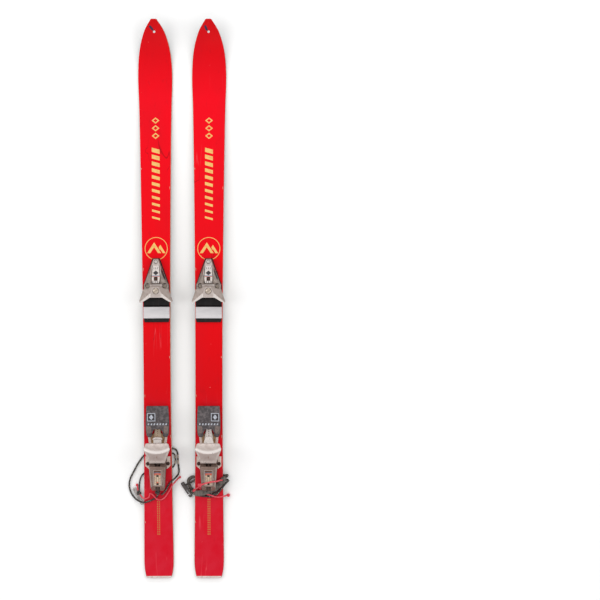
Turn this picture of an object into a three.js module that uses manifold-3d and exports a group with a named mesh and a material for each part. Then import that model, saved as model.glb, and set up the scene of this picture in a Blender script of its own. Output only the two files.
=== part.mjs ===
// A pair of short alpine skis with step-in bindings and safety leashes, lying flat on their bases.
// Millimetres. +X runs across the pair, +Y towards the tips, +Z up. The origin is on the floor, mid-pair.
import * as THREE from "three";
import { mergeVertices } from "three/addons/utils/BufferGeometryUtils.js";
import Module from "manifold-3d";

const wasm = await Module();
wasm.setup();

// Driving dimensions of the pair.
const LENGTH = 1350; // the ski's length from tip to tail
const SPACING = 126.3; // between the two centre lines, at mid-length
const LEFT_YAW = 0.0079; // the left ski is turned out by this many radians
const SHIFT = 2.35; // brings the middle of the pair's box to x = 0
const GAP = 0.3; // between neighbouring pieces

// Driving dimensions of one ski. Stations are distances from the tip.
const TIP_RISE = 56;
const CAMBER = 13;
const SHOVEL_CONTACT = [145, 165]; // the flat under the shovel
const TAIL_CONTACT = [1290, 1312]; // the flat under the tail
const TAIL_KICK = 2.5;
const END_THICKNESS = 6.2;
const WAIST_THICKNESS = 13.5;
const BASE_THICKNESS = 1.6;
const TOP_THICKNESS = 1.0;
const EDGE_WIDTH = 2.2;
const SIDEWALL_WIDTH = 3.0;
const TOP_INSET = 0.9; // the top sheet is narrower than the base on each side
const TIP_HOLE = { station: 29, radius: 3 };

// Widths of the sidecut at stations down the ski.
const SIDECUT = [
  [0, 15],
  [4, 19],
  [11, 29],
  [25, 46],
  [40, 58],
  [61, 70],
  [90, 79.2],
  [137, 83.6],
  [208, 79.3],
  [317, 75.3],
  [534, 69.9],
  [750, 66.6],
  [970, 66.6],
  [1184, 69.6],
  [1305, 71.9],
  [1324, 70.4],
  [1340, 65.5],
  [1350, 60],
];

// Stations where the ski's solids are cut into sections.
const STATIONS = [
  0, 4, 11, 18, 28, 40, 54, 70, 90, 115, SHOVEL_CONTACT[0], SHOVEL_CONTACT[1], 210, 280, 380, 500, 620, 727,
  840, 950, 1030, 1090, 1150, 1220, TAIL_CONTACT[0], TAIL_CONTACT[1], 1326, 1339, LENGTH,
];

// Driving dimensions of the bindings. Lengths run forwards from the toe's pivot or the heel's axle.
const TOE_STATION = 655;
const HEEL_STATION = 1068;
const TOE_TILT = -0.0105;
const HEEL_TILT = 0.0436;
const TOE_LIFT = 26.5; // the toe's base plane above the floor, at its pivot
const HEEL_LIFT = 18.9; // the heel's base plane above the floor, at its axle
const PLATE = 3.3; // the thickness of the toe's base plate
const TOE_AXIS = 9; // the height of the toe spring's axis
const WING_FLOOR = 23; // the underside of the toe wing's plate
const WING_TOP = 33;
const SOLE_LIP = 26.5; // the height of a boot sole's upper edge at the toe
const JAW_AXLE = { v: 8, w: 20, radius: 3 };
const HEEL_AXIS = 20; // the height of the heel spring's axis
const BORE = 7.2; // the radius of the heel spring's bore
const SPRING_STEPS = 7; // the straight steps in one turn of a spring

// ---- Solids -----------------------------------------------------------------------------------

function toSolid(geometry) {
  const bare = geometry.clone();
  bare.deleteAttribute("normal");
  bare.deleteAttribute("uv");
  const merged = mergeVertices(bare, 1e-4);
  return new wasm.Manifold(
    new wasm.Mesh({
      numProp: 3,
      vertProperties: merged.attributes.position.array,
      triVerts: new Uint32Array(merged.index.array),
    }),
  );
}

function toGeometry(solid) {
  const mesh = solid.getMesh();
  const geometry = new THREE.BufferGeometry();
  geometry.setAttribute("position", new THREE.BufferAttribute(new Float32Array(mesh.vertProperties), 3));
  geometry.setIndex(new THREE.BufferAttribute(new Uint32Array(mesh.triVerts), 1));
  geometry.computeVertexNormals();
  return geometry;
}

const join = (first, ...others) => others.reduce((a, b) => a.add(b), first);
const cut = (first, ...others) => others.reduce((a, b) => a.subtract(b), first);

// A closed outline of [x, v] points, raised from height low to height high.
function slab(outline, low, high) {
  const shape = new THREE.Shape(outline.map(([x, v]) => new THREE.Vector2(x, v)));
  const geometry = new THREE.ExtrudeGeometry(shape, { depth: high - low, bevelEnabled: false });
  geometry.translate(0, 0, low);
  return toSolid(geometry);
}

// A closed side outline of [v, w] points, as wide as from left to right.
function profile(outline, left, right) {
  const shape = new THREE.Shape(outline.map(([v, w]) => new THREE.Vector2(v, w)));
  const geometry = new THREE.ExtrudeGeometry(shape, { depth: right - left, bevelEnabled: false });
  geometry.translate(0, 0, left);
  const basis = new THREE.Matrix4();
  basis.makeBasis(new THREE.Vector3(0, 1, 0), new THREE.Vector3(0, 0, 1), new THREE.Vector3(1, 0, 0));
  geometry.applyMatrix4(basis);
  return toSolid(geometry);
}

function block([x0, x1], [v0, v1], [w0, w1]) {
  const geometry = new THREE.BoxGeometry(x1 - x0, v1 - v0, w1 - w0);
  geometry.translate((x0 + x1) / 2, (v0 + v1) / 2, (w0 + w1) / 2);
  return toSolid(geometry);
}

// A round bar from one point to another.
function bar(from, to, radius, sides = 16) {
  const start = new THREE.Vector3(...from);
  const along = new THREE.Vector3(...to).sub(start);
  const geometry = new THREE.CylinderGeometry(radius, radius, along.length(), sides);
  const turn = new THREE.Quaternion();
  turn.setFromUnitVectors(new THREE.Vector3(0, 1, 0), along.clone().normalize());
  geometry.applyQuaternion(turn);
  geometry.translate(...start.addScaledVector(along, 0.5).toArray());
  return toSolid(geometry);
}

// The mirror image of a half outline is added to it, so that it is closed and symmetric about x = 0.
function mirrored(half) {
  const other = half.filter(([x]) => x !== 0).map(([x, v]) => [-x, v]);
  return [...half, ...other.reverse()];
}

// A round tube along points, with flat ends.
function tube(points, diameter, steps, sides = 8) {
  const path = new THREE.CatmullRomCurve3(
    points.map((p) => new THREE.Vector3(...p)),
    false,
    "centripetal",
  );
  const ring = Array.from({ length: sides }, (_, i) => {
    const angle = (2 * Math.PI * (i + 0.5)) / sides;
    return new THREE.Vector2((Math.cos(angle) * diameter) / 2, (Math.sin(angle) * diameter) / 2);
  });
  return new THREE.ExtrudeGeometry(new THREE.Shape(ring), { steps, extrudePath: path, bevelEnabled: false });
}

// A coil spring along v, closed at neither end.
function coil(centreW, from, to, radius, wire, turns) {
  const count = turns * SPRING_STEPS;
  const points = Array.from({ length: count + 1 }, (_, i) => {
    const angle = (2 * Math.PI * i) / SPRING_STEPS;
    const v = from + wire / 2 + ((to - from - wire) * i) / count;
    return [radius * Math.cos(angle), v, centreW + radius * Math.sin(angle)];
  });
  return tube(points, wire, count, 4);
}

// ---- The ski ----------------------------------------------------------------------------------

// A smooth curve through a table of [station, value].
function along(table, station) {
  const last = table.length - 1;
  let i = 0;
  while (i < last - 1 && table[i + 1][0] < station) i += 1;
  const slope = (k) => {
    const [a, b] = [table[Math.max(k - 1, 0)], table[Math.min(k + 1, last)]];
    return (b[1] - a[1]) / (b[0] - a[0]);
  };
  const [x0, y0] = table[i];
  const [x1, y1] = table[i + 1];
  const h = x1 - x0;
  const t = (station - x0) / h;
  return (
    y0 * (1 + 2 * t) * (1 - t) ** 2 +
    slope(i) * h * t * (1 - t) ** 2 +
    y1 * t * t * (3 - 2 * t) +
    slope(i + 1) * h * t * t * (t - 1)
  );
}

const halfWidth = (station) => along(SIDECUT, station) / 2;

// How far along the cambered stretch a station is: 0 at its ends and 1 in its middle.
function bow(station) {
  const middle = (SHOVEL_CONTACT[1] + TAIL_CONTACT[0]) / 2;
  const reach = (TAIL_CONTACT[0] - SHOVEL_CONTACT[1]) / 2;
  return Math.max(0, 1 - ((station - middle) / reach) ** 2);
}

// The height of the running surface.
function underside(station) {
  if (station < SHOVEL_CONTACT[0]) return TIP_RISE * (1 - station / SHOVEL_CONTACT[0]) ** 2.2;
  if (station > TAIL_CONTACT[1]) return TAIL_KICK * ((station - TAIL_CONTACT[1]) / (LENGTH - TAIL_CONTACT[1])) ** 2;
  return CAMBER * bow(station) ** 1.2;
}

const thickness = (station) => END_THICKNESS + (WAIST_THICKNESS - END_THICKNESS) * bow(station);
const topside = (station) => underside(station) + thickness(station);

// A long solid down the ski: its half width and its lower and upper heights are functions of station.
function loft(half, low, high, endInset = 0) {
  const middle = STATIONS.filter((s) => s > endInset && s < LENGTH - endInset);
  const stations = [endInset, ...middle, LENGTH - endInset];
  const vertices = [];
  const faces = [];
  stations.forEach((s, i) => {
    const x = half(s);
    const y = LENGTH / 2 - s;
    vertices.push(-x, y, low(s), x, y, low(s), x, y, high(s), -x, y, high(s));
    if (i === 0) return;
    for (let k = 0; k < 4; k += 1) {
      const [a, b] = [4 * i - 4 + k, 4 * i - 4 + ((k + 1) % 4)];
      faces.push(a, b, b + 4, a, b + 4, a + 4);
    }
  });
  const end = 4 * (stations.length - 1);
  faces.push(0, 2, 1, 0, 3, 2, end, end + 1, end + 2, end, end + 2, end + 3);
  const geometry = new THREE.BufferGeometry();
  geometry.setAttribute("position", new THREE.Float32BufferAttribute(vertices, 3));
  geometry.setIndex(faces);
  return toSolid(geometry);
}

function tipHole() {
  const y = LENGTH / 2 - TIP_HOLE.station;
  return bar([0, y, 0], [0, y, TIP_RISE + 20], TIP_HOLE.radius, 12);
}

// A frame as wide as width inside the ski's outline, between two heights.
function rim(low, high, width, inset = 0) {
  const outer = loft((s) => halfWidth(s) - inset, low, high);
  const inner = loft(
    (s) => Math.max(halfWidth(s) - width, 2),
    (s) => low(s) - 5,
    (s) => high(s) + 5,
    width,
  );
  return cut(outer, inner);
}

function insideOf(low, high, width) {
  const solid = loft((s) => Math.max(halfWidth(s) - width - GAP, 2 - GAP), low, high, width + GAP);
  return cut(solid, tipHole());
}

function skiPieces() {
  const coreFloor = (s) => underside(s) + BASE_THICKNESS + GAP;
  const coreTop = (s) => topside(s) - TOP_THICKNESS - GAP;
  const baseTop = (s) => underside(s) + BASE_THICKNESS;
  return {
    running_base: insideOf(underside, baseTop, EDGE_WIDTH),
    steel_edge: rim(underside, baseTop, EDGE_WIDTH),
    core: insideOf(coreFloor, coreTop, SIDEWALL_WIDTH),
    sidewall: rim(coreFloor, coreTop, SIDEWALL_WIDTH, TOP_INSET / 2),
    top_sheet: cut(loft((s) => halfWidth(s) - TOP_INSET, (s) => topside(s) - TOP_THICKNESS, topside), tipHole()),
  };
}

// ---- The toe binding --------------------------------------------------------------------------
// x across, v forwards from the wing's pivot, w up from the base plane.

const TOE_NOSE = 78;
const TOE_BACK = -75;
const NOSE_HALF = 7.2;
const HOUSING_HALF = 29.6;
const HOUSING_FLARE = 14; // where the housing reaches its full width
const DECK = 21.5; // the height of the housing under the wing
const PIVOT_POCKET = 7.4;
const GLIDE = { front: -38, back: -65.5, half: 31.6, height: 7.2 };

function toeBasePlate() {
  const outline = mirrored([
    [0, TOE_NOSE + 1.6],
    [NOSE_HALF + 1.2, TOE_NOSE + 1.6],
    [NOSE_HALF + 2.6, TOE_NOSE - 1],
    [HOUSING_HALF + 2, HOUSING_FLARE],
    [HOUSING_HALF + 2, -66],
    [HOUSING_HALF - 0.6, TOE_BACK],
    [0, TOE_BACK],
  ]);
  const plate = slab(outline, GAP, PLATE);
  const carrier = profile(
    [
      [GLIDE.front + 4, PLATE - 1],
      [GLIDE.front + 1, 6.4],
      [GLIDE.front + GAP, 6.4],
      [GLIDE.front + GAP, 4.2],
      [GLIDE.back - GAP, 4.2],
      [GLIDE.back - GAP, 6.4],
      [GLIDE.back - 2, 6.4],
      [TOE_BACK + 1, PLATE - 1],
    ],
    -HOUSING_HALF,
    HOUSING_HALF,
  );
  return join(plate, carrier);
}

function toeGlidePad() {
  const { front, back, half, height } = GLIDE;
  const outline = [
    [front, 4.2 + GAP],
    [front, height - 0.6],
    [front - 0.8, height],
    [back + 0.8, height],
    [back, height - 0.6],
    [back, 4.2 + GAP],
  ];
  return profile(outline, -half, half);
}

function toeHousing() {
  const low = PLATE + GAP;
  const plan = mirrored([
    [0, TOE_NOSE],
    [NOSE_HALF - 1.5, TOE_NOSE],
    [NOSE_HALF, TOE_NOSE - 2],
    [HOUSING_HALF, HOUSING_FLARE],
    [HOUSING_HALF, 0],
    [10.6, -1],
    [9, -6.5],
    [5, -10.2],
    [0, -11.4],
  ]);
  const side = [
    [TOE_NOSE + 2, low],
    [TOE_NOSE, 17],
    [TOE_NOSE - 3, 19],
    [58, 21.5],
    [19, 27.5],
    [16.5, DECK],
    [-14, DECK],
    [-14, low],
  ];
  const body = slab(plan, low, 40).intersect(profile(side, -40, 40));
  // Sloping flanks, with a low deck around the two mounting screws.
  const flanks = [-1, 1].map((hand) =>
    slab(
      [
        [hand * 10.6, 60],
        [hand * 40, 60],
        [hand * 40, 12],
        [hand * 15.4, 12],
      ],
      22.2,
      40,
    ),
  );
  const screws = [-1, 1].map((hand) => bar([hand * 20.5, 13, PLATE + 5], [hand * 20.5, 13, 40], 6, 16));
  const front = bar([0, 70.5, 16], [0, 70.5, 40], 4.7, 16);
  const bore = bar([0, 6, TOE_AXIS], [0, TOE_NOSE - 7, TOE_AXIS], 5.3, 16);
  const headBore = bar([0, TOE_NOSE - 8, TOE_AXIS], [0, TOE_NOSE + 5, TOE_AXIS], 4.4, 16);
  const pocket = bar([0, 0, TOE_AXIS - 5.4], [0, 0, 40], PIVOT_POCKET, 24);
  const channel = block([-3, 3], [22, TOE_NOSE - 9], [TOE_AXIS + 3, 18.2]);
  const window = block([-4, 4], [25, 34], [17, 40]);
  return cut(body, ...flanks, ...screws, front, bore, headBore, pocket, channel, window);
}

function toeWing() {
  const outline = mirrored([
    [0, 12.6],
    [10, 12.6],
    [15.5, 7.4],
    [22, 5.4],
    [31, 3.8],
    [33.6, -5],
    [40.2, -23.5],
    [39.2, -28.5],
    [30.5, -25.5],
    [15, -16],
    [0, -16],
  ]);
  const wall = mirrored([
    [0, -12.6],
    [15.2, -12.6],
    [35.5, -22.5],
    [38, -27],
    [30.2, -21.8],
    [14.6, -14.9],
    [0, -14.9],
  ]);
  const plate = slab(outline, WING_FLOOR, WING_TOP);
  const rear = slab(wall, PLATE + 5, WING_FLOOR + 1);
  const boss = bar([0, 0, TOE_AXIS - 4.8], [0, 0, WING_FLOOR + 1], PIVOT_POCKET - 0.35, 24);
  // The sole's upper edge sits under the lip, and the plate's shoulders slope away from the middle.
  const sole = slab(
    mirrored([
      [0, -14.9],
      [14.6, -14.9],
      [30.2, -21.8],
      [39, -27.5],
      [39, -40],
      [0, -40],
    ]),
    0,
    SOLE_LIP,
  );
  const shoulders = [-1, 1].map((hand) => {
    const geometry = new THREE.BoxGeometry(40, 60, 20);
    geometry.rotateY(hand * 0.24);
    geometry.translate(hand * 33, 0, WING_TOP + 7.4);
    return toSolid(geometry);
  });
  const screwHole = bar([0, 0, TOE_AXIS], [0, 0, 40], 4.3, 16);
  const headSeat = bar([0, 0, 30.5], [0, 0, 40], 7.7, 20);
  return cut(join(plate, rear, boss), sole, ...shoulders, screwHole, headSeat);
}

function toePivotScrew() {
  const shaft = bar([0, 0, TOE_AXIS + 0.5], [0, 0, 31.5], 4, 16);
  const head = bar([0, 0, 30.8], [0, 0, 34.4], 7.3, 24);
  const slot = block([-9, 9], [-0.8, 0.8], [33, 36]);
  return cut(join(shaft, head), slot);
}

function toeIndicator() {
  const nut = bar([0, 62, TOE_AXIS], [0, 66, TOE_AXIS], 4.9, 16);
  const tongue = block([-2.6, 2.6], [27, 66], [TOE_AXIS + 4.4, TOE_AXIS + 6.6]);
  const neck = block([-2.6, 2.6], [62, 66], [TOE_AXIS + 2, TOE_AXIS + 6.6]);
  const pointer = block([-2.2, 2.2], [27.6, 31.4], [TOE_AXIS + 6, 21]);
  return cut(join(nut, neck, tongue, pointer), bar([0, 60, TOE_AXIS], [0, 68, TOE_AXIS], 2.3, 12));
}

function toeSettingScrew() {
  const shaft = bar([0, 57, TOE_AXIS], [0, TOE_NOSE - 5, TOE_AXIS], 2, 12);
  const head = bar([0, TOE_NOSE - 6, TOE_AXIS], [0, TOE_NOSE - 0.4, TOE_AXIS], 4, 16);
  const slot = block([-5, 5], [TOE_NOSE - 2, TOE_NOSE + 1], [TOE_AXIS - 0.6, TOE_AXIS + 0.6]);
  return cut(join(shaft, head), slot);
}

function toePlunger() {
  const body = bar([0, PIVOT_POCKET + 0.3, TOE_AXIS], [0, 24, TOE_AXIS], 4.9, 16);
  const tail = bar([0, 23, TOE_AXIS], [0, 40, TOE_AXIS], 2, 12);
  return join(body, tail);
}

function toePieces() {
  return {
    toe_base_plate: toeBasePlate(),
    toe_glide_pad: toeGlidePad(),
    toe_housing: toeHousing(),
    toe_wing: toeWing(),
    toe_pivot_screw: toePivotScrew(),
    toe_plunger: toePlunger(),
    toe_spring: toSolid(coil(TOE_AXIS, 24 + GAP, 62 - GAP, 3.7, 1.6, 7)),
    toe_indicator: toeIndicator(),
    toe_setting_screw: toeSettingScrew(),
  };
}

// ---- The heel binding -------------------------------------------------------------------------
// x across, v forwards from the station under the axle's rear, w up from the base plane.

const PAD_TOP = 13;
const HOUSING_BACK = -69;
const WINDOW = { front: -17.5, back: -53, half: 8.6 };

function heelPad() {
  const outline = mirrored([
    [0, 136],
    [25.6, 136],
    [26.4, 134],
    [28.4, 100],
    [28, 80],
    [26.6, 66],
    [23, 61],
    [16, 61],
    [13.4, 63],
    [12.6, 72],
    [8.2, 80.5],
    [0, 80.5],
  ]);
  const side = [
    [137, GAP],
    [136, 9.6],
    [134, 11.6],
    [123.5, 11.6],
    [122, PAD_TOP],
    [76, PAD_TOP],
    [70, 11.4],
    [60, 10.6],
    [60, GAP],
  ];
  const body = slab(outline, GAP, PAD_TOP + 2).intersect(profile(side, -40, 40));
  const under = slab(
    mirrored([
      [0, 118],
      [20, 118],
      [24.6, 60],
      [24, 40],
      [0, 40],
    ]),
    0,
    4.6,
  );
  return cut(body, under);
}

// The steel base: a rail under the housing, two ears that are screwed down, and two arms under the pad.
function heelBase() {
  const rail = slab(
    [
      [-16, 22],
      [-16, HOUSING_BACK + 13],
      [-11, HOUSING_BACK + 3],
      [11, HOUSING_BACK + 3],
      [16, HOUSING_BACK + 13],
      [16, 22],
    ],
    GAP,
    3.2,
  );
  const arms = [-1, 1].map((hand) =>
    slab(
      [
        [hand * 12, 21],
        [hand * 18.6, 21],
        [hand * 23.6, 62],
        [hand * 19, 112],
        [hand * 13.6, 112],
        [hand * 17.6, 62],
      ],
      GAP,
      3.2,
    ),
  );
  const ears = [-1, 1].map((hand) =>
    slab(
      [
        [hand * 14, 13.6],
        [hand * 30.2, 13.6],
        [hand * 30.2, -10],
        [hand * 21.5, -17],
        [hand * 14, -17],
      ],
      GAP,
      3.2,
    ),
  );
  const caps = [-1, 1].map((hand) =>
    slab(
      [
        [hand * 21.2, 13.6],
        [hand * 30.2, 13.6],
        [hand * 30.2, -10],
        [hand * 21.5, -17],
        [hand * 21.2, -17],
      ],
      3,
      6.4,
    ),
  );
  const holes = [-1, 1].map((hand) => bar([hand * 24.4, -4, 2], [hand * 24.4, -4, 12], 4.6, 16));
  return cut(join(rail, ...arms, ...ears, ...caps), ...holes);
}

// The perforated strip between the pad's legs, on which the heel is set to the boot's length.
function heelStrip() {
  const outline = mirrored([
    [0, 112],
    [7.2, 112],
    [7.2, 72],
    [10.4, 60],
    [10.8, 24],
    [0, 24],
  ]);
  const holes = Array.from({ length: 6 }, (_, i) => bar([0, 78.5 - 4.7 * i, -1], [0, 78.5 - 4.7 * i, 9], 1.2, 8));
  return cut(slab(outline, GAP, 3.2), ...holes);
}

function heelHousing() {
  const low = 3.2 + GAP;
  const plan = mirrored([
    [0, 17],
    [20, 17],
    [20, -16],
    [16.6, HOUSING_BACK + 6],
    [13, HOUSING_BACK],
    [0, HOUSING_BACK],
  ]);
  const side = [
    [10, low],
    [16.4, 14],
    [16.6, 21],
    [13, 27],
    [4, 28],
    // The jaw's rear lip swings down into this notch.
    [-3.4, 24.4],
    [-5.2, 22.6],
    [-9.4, 24.8],
    [-9.6, 30],
    [-7.9, 35],
    [-9.6, 36.2],
    [-50, 31],
    [-57, 29.6],
    [HOUSING_BACK + 1, 17],
    [HOUSING_BACK, low],
  ];
  const body = slab(plan, low, 50).intersect(profile(side, -30, 30));
  // The jaw's hub turns between two cheeks.
  const fork = block([-12.9, 12.9], [-2.2, 30], [0, 50]);
  const bore = bar([0, -58, HEEL_AXIS], [0, 0, HEEL_AXIS], BORE, 20);
  const headBore = bar([0, HOUSING_BACK - 3, HEEL_AXIS], [0, -57, HEEL_AXIS], 5.2, 16);
  const { front, back, half } = WINDOW;
  const recess = block([-half, half], [back, front], [30, 50]);
  const topSlot = block([-7.5, 7.5], [-64, -57.6], [22, 50]);
  const leashSlot = block([-7.5, 7.5], [HOUSING_BACK - 3, -60], [4.6, 12]);
  const slotWay = block([-2.6, 2.6], [back + 0.6, front - 12], [HEEL_AXIS, 50]);
  const axle = bar([-30, JAW_AXLE.v, JAW_AXLE.w], [30, JAW_AXLE.v, JAW_AXLE.w], JAW_AXLE.radius + 0.12, 16);
  return cut(body, fork, bore, headBore, recess, topSlot, leashSlot, slotWay, axle);
}

function heelJaw() {
  const plan = mirrored([
    [0, 49.5],
    [25.5, 49.5],
    [28, 47],
    [31, 34],
    [19.2, 3],
    [18.4, 0],
    [0, 0],
  ]);
  const side = [
    [50, 41],
    [50, 46],
    [40, 52],
    [31, 56],
    [24, 55.4],
    [1.6, 38],
    [0, 34.6],
    [0.8, 31],
    [5, 31.5],
    [16, 30],
    [25, 27],
    [25, 12],
    [37, 12],
    [37.5, 39],
    [41, 41],
  ];
  const shell = slab(plan, 8, 60).intersect(profile(side, -40, 40));
  // The lower wall is narrower than the crest.
  const trims = [-1, 1].map((hand) => block(hand < 0 ? [-40, -24] : [24, 40], [20, 60], [5, 36]));
  const hub = bar([-12.5, JAW_AXLE.v, JAW_AXLE.w], [12.5, JAW_AXLE.v, JAW_AXLE.w], 9.2, 24);
  const web = profile(
    [
      [8, 28.4],
      [8, 32],
      [20, 32],
      [28, 30],
      [28, 13],
      [14, 13],
    ],
    -12.5,
    12.5,
  );
  const axle = bar([-30, JAW_AXLE.v, JAW_AXLE.w], [30, JAW_AXLE.v, JAW_AXLE.w], JAW_AXLE.radius + 0.12, 16);
  // The recess for a pole's tip, in the sloping rear face.
  const recess = profile(
    [
      [27, 62],
      [27, 53.6],
      [24, 51.4],
      [6, 37.4],
      [3, 62],
    ],
    -14,
    14,
  );
  return cut(join(cut(shell, ...trims), hub, web), recess, axle);
}

// The treadle that the boot's heel presses down, in front of the jaw.
function heelPedal() {
  const plan = mirrored([
    [0, 60.5],
    [9, 60.5],
    [10.6, 58],
    [12.6, 37.4 + GAP],
    [0, 37.4 + GAP],
  ]);
  const side = [
    [61, 7],
    [61, 12.4],
    [58, 15],
    [47, 16.4],
    [37, 17.6],
    [37, 12.2],
    [50, 9],
  ];
  const grooves = [42, 45.5, 49].map((v) => block([-8, 8], [v, v + 1.6], [15.4, 20]));
  return cut(slab(plan, 5, 20).intersect(profile(side, -20, 20)), ...grooves);
}

function heelPieces() {
  const plunger = join(
    bar([0, -13, HEEL_AXIS], [0, -8.4, HEEL_AXIS], BORE - 0.4, 20),
    bar([0, -9, HEEL_AXIS], [0, JAW_AXLE.v - 9.2 - 0.35, HEEL_AXIS], 2.8, 16),
    bar([0, -28, HEEL_AXIS], [0, -12, HEEL_AXIS], 2.6, 12),
  );
  const nut = bar([0, -49, HEEL_AXIS], [0, -44.4, HEEL_AXIS], BORE - 0.4, 20);
  const pointer = block([-2.2, 2.2], [-48, -45.4], [HEEL_AXIS + 2, 30.8]);
  const nutHole = bar([0, -52, HEEL_AXIS], [0, -42, HEEL_AXIS], 2.8, 12);
  const head = bar([0, HOUSING_BACK + 1.2, HEEL_AXIS], [0, -58 - GAP, HEEL_AXIS], 4.8, 16);
  const shaft = bar([0, -59, HEEL_AXIS], [0, -38, HEEL_AXIS], 2.4, 12);
  const slot = block([-6, 6], [HOUSING_BACK, HOUSING_BACK + 3], [HEEL_AXIS - 0.7, HEEL_AXIS + 0.7]);
  const { v, w, radius } = JAW_AXLE;
  return {
    heel_pad: heelPad(),
    heel_base: heelBase(),
    heel_strip: heelStrip(),
    heel_housing: heelHousing(),
    heel_jaw: heelJaw(),
    heel_pedal: heelPedal(),
    heel_axle: bar([-19.6, v, w], [19.6, v, w], radius, 16),
    heel_plunger: plunger,
    heel_spring: toSolid(coil(HEEL_AXIS, -44.4 + GAP, -13 - GAP, 5, 2.4, 5)),
    heel_indicator: cut(join(nut, pointer), nutHole),
    heel_setting_screw: cut(join(shaft, head), slot),
  };
}

// ---- The safety leashes -----------------------------------------------------------------------
// Routes are [x, station, z]: x from the ski's centre line, station from the tip, z from the floor.

const LEASHES = {
  left: {
    leash_strap: {
      diameter: 4,
      steps: 52,
      route: [
        [0, 1131, 24.2],
        [0, 1139, 23.9],
        [-1, 1147, 20.6],
        [-6, 1155, 17.2],
        [-17, 1161, 16.4],
        [-28, 1165, 16.4],
        [-36, 1166, 15.6],
        [-43, 1165, 11.5],
        [-51, 1161.5, 8],
        [-58, 1156, 3.6],
        [-66, 1145, 2.5],
        [-71, 1128, 2.5],
        [-69, 1111, 2.5],
        [-60, 1092, 2.5],
        [-47, 1069, 2.5],
        [-33, 1052, 2.5],
        [-12, 1042, 2.5],
        [12, 1038, 2.5],
        [32, 1036, 2.5],
        [43, 1040, 2.5],
        [47, 1050, 2.5],
        [47.5, 1065, 2.5],
        [49, 1082, 2.5],
        [50, 1092, 2.6],
        [48, 1099, 4.6],
        [44.5, 1104, 9.8],
        [40.5, 1108.5, 15.6],
        [34, 1114, 19.2],
        [26, 1123, 18.6],
        [20, 1134, 17.8],
        [14, 1143, 17.2],
        [7, 1148, 17],
      ],
    },
    leash_lanyard: {
      diameter: 3.2,
      steps: 26,
      route: [
        [24, 1058, 2],
        [30, 1052, 2],
        [35.5, 1048.5, 2],
        [40, 1053, 2],
        [41.5, 1063, 2],
        [40, 1074, 2],
        [34, 1083, 2],
        [20, 1088, 2],
        [0, 1090, 2],
        [-20, 1092, 2],
        [-34, 1096, 2],
        [-41, 1103, 2],
        [-45, 1113, 2],
        [-46.5, 1123, 2],
        [-47, 1132, 2],
        [-47.6, 1139, 2],
      ],
    },
    pull_cord: {
      diameter: 3.4,
      steps: 30,
      route: [
        [-51, 1126, 2.2],
        [-50.5, 1133, 6],
        [-47.5, 1141, 7],
        [-43.5, 1149, 8.5],
        [-38, 1155, 14.8],
        [-30, 1157, 16.6],
        [-22, 1152, 16.4],
        [-20, 1145, 16.6],
        [-14, 1147, 17.6],
        [-9, 1152, 22.6],
        [-3, 1158, 21],
        [6, 1160, 16.8],
        [15, 1155, 16.4],
        [22, 1146, 16.8],
        [29, 1134, 17.4],
        [35, 1124, 18],
        [40, 1118, 15.6],
        [43.5, 1114, 9.6],
        [46.5, 1111, 4],
        [52, 1107, 2.3],
      ],
    },
  },
  right: {
    leash_strap: {
      diameter: 5,
      steps: 84,
      route: [
        [0, 1131, 24.2],
        [1, 1139.5, 23.6],
        [5, 1145.5, 20.6],
        [12, 1145, 18.4],
        [19.5, 1137, 18.1],
        [27, 1125, 18.7],
        [34, 1114, 19.8],
        [40.5, 1106, 17.2],
        [45, 1102, 10.8],
        [43.5, 1101, 5],
        [36, 1101.5, 3],
        [20, 1102, 2.9],
        [0, 1103, 2.9],
        [-20, 1104, 2.9],
        [-35, 1105, 2.9],
        [-44, 1107, 2.9],
        [-49.5, 1113, 2.9],
        [-50, 1121, 2.9],
        [-47, 1129, 3],
        [-44, 1136, 5.4],
        [-41.5, 1141, 11.2],
        [-37.5, 1145, 16.6],
        [-30, 1148, 17.9],
        [-17, 1150.5, 17.4],
        [-4, 1151.5, 17.3],
        [9, 1151.5, 17.3],
        [19, 1146, 17.6],
        [28, 1136, 18.2],
        [35.5, 1126, 19.2],
        [42, 1118.5, 17.2],
        [46.5, 1114.5, 10.8],
        [45, 1113, 5],
        [37, 1111.5, 3],
        [20, 1110.5, 2.9],
        [0, 1110.5, 2.9],
        [-20, 1111.5, 2.9],
        [-34, 1113, 2.9],
        [-40, 1116, 4.4],
        [-45.5, 1119.5, 8.4],
        [-52, 1122.5, 9],
        [-59, 1125, 8.4],
      ],
    },
    pull_cord: {
      diameter: 3.6,
      steps: 32,
      route: [
        [34, 1112, 24],
        [28.5, 1112, 26.5],
        [24.6, 1112.3, 35],
        [23, 1112.6, 46],
        [18.5, 1113, 52.2],
        [8, 1114, 52.6],
        [-3, 1116.5, 52.2],
        [-12, 1119.5, 51.6],
        [-18.6, 1122, 48.6],
        [-21.6, 1124, 40],
        [-22.6, 1126, 29],
        [-25, 1129, 21.6],
        [-30, 1133, 18.2],
        [-35.5, 1137.5, 18.4],
      ],
    },
    tail_cord: {
      diameter: 3.6,
      steps: 16,
      route: [
        [-21, 1131, 17.8],
        [-16.5, 1139, 18.6],
        [-9, 1144, 23],
        [0, 1147, 26.4],
        [8, 1149.5, 24.4],
        [16, 1152.5, 20],
        [24, 1153.5, 17],
        [31, 1152.5, 16.6],
        [37.5, 1151.5, 14.6],
        [41, 1150.5, 9.6],
        [44, 1150, 5.4],
      ],
    },
  },
};

// The ends of each leash's hook, as [x, station].
const HOOKS = {
  left: [
    [-60, 1132],
    [-38.5, 1172],
  ],
  right: [
    [-66, 1119],
    [-43, 1154],
  ],
};
const HOOK = { half: 4.6, thickness: 4.6 };

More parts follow.
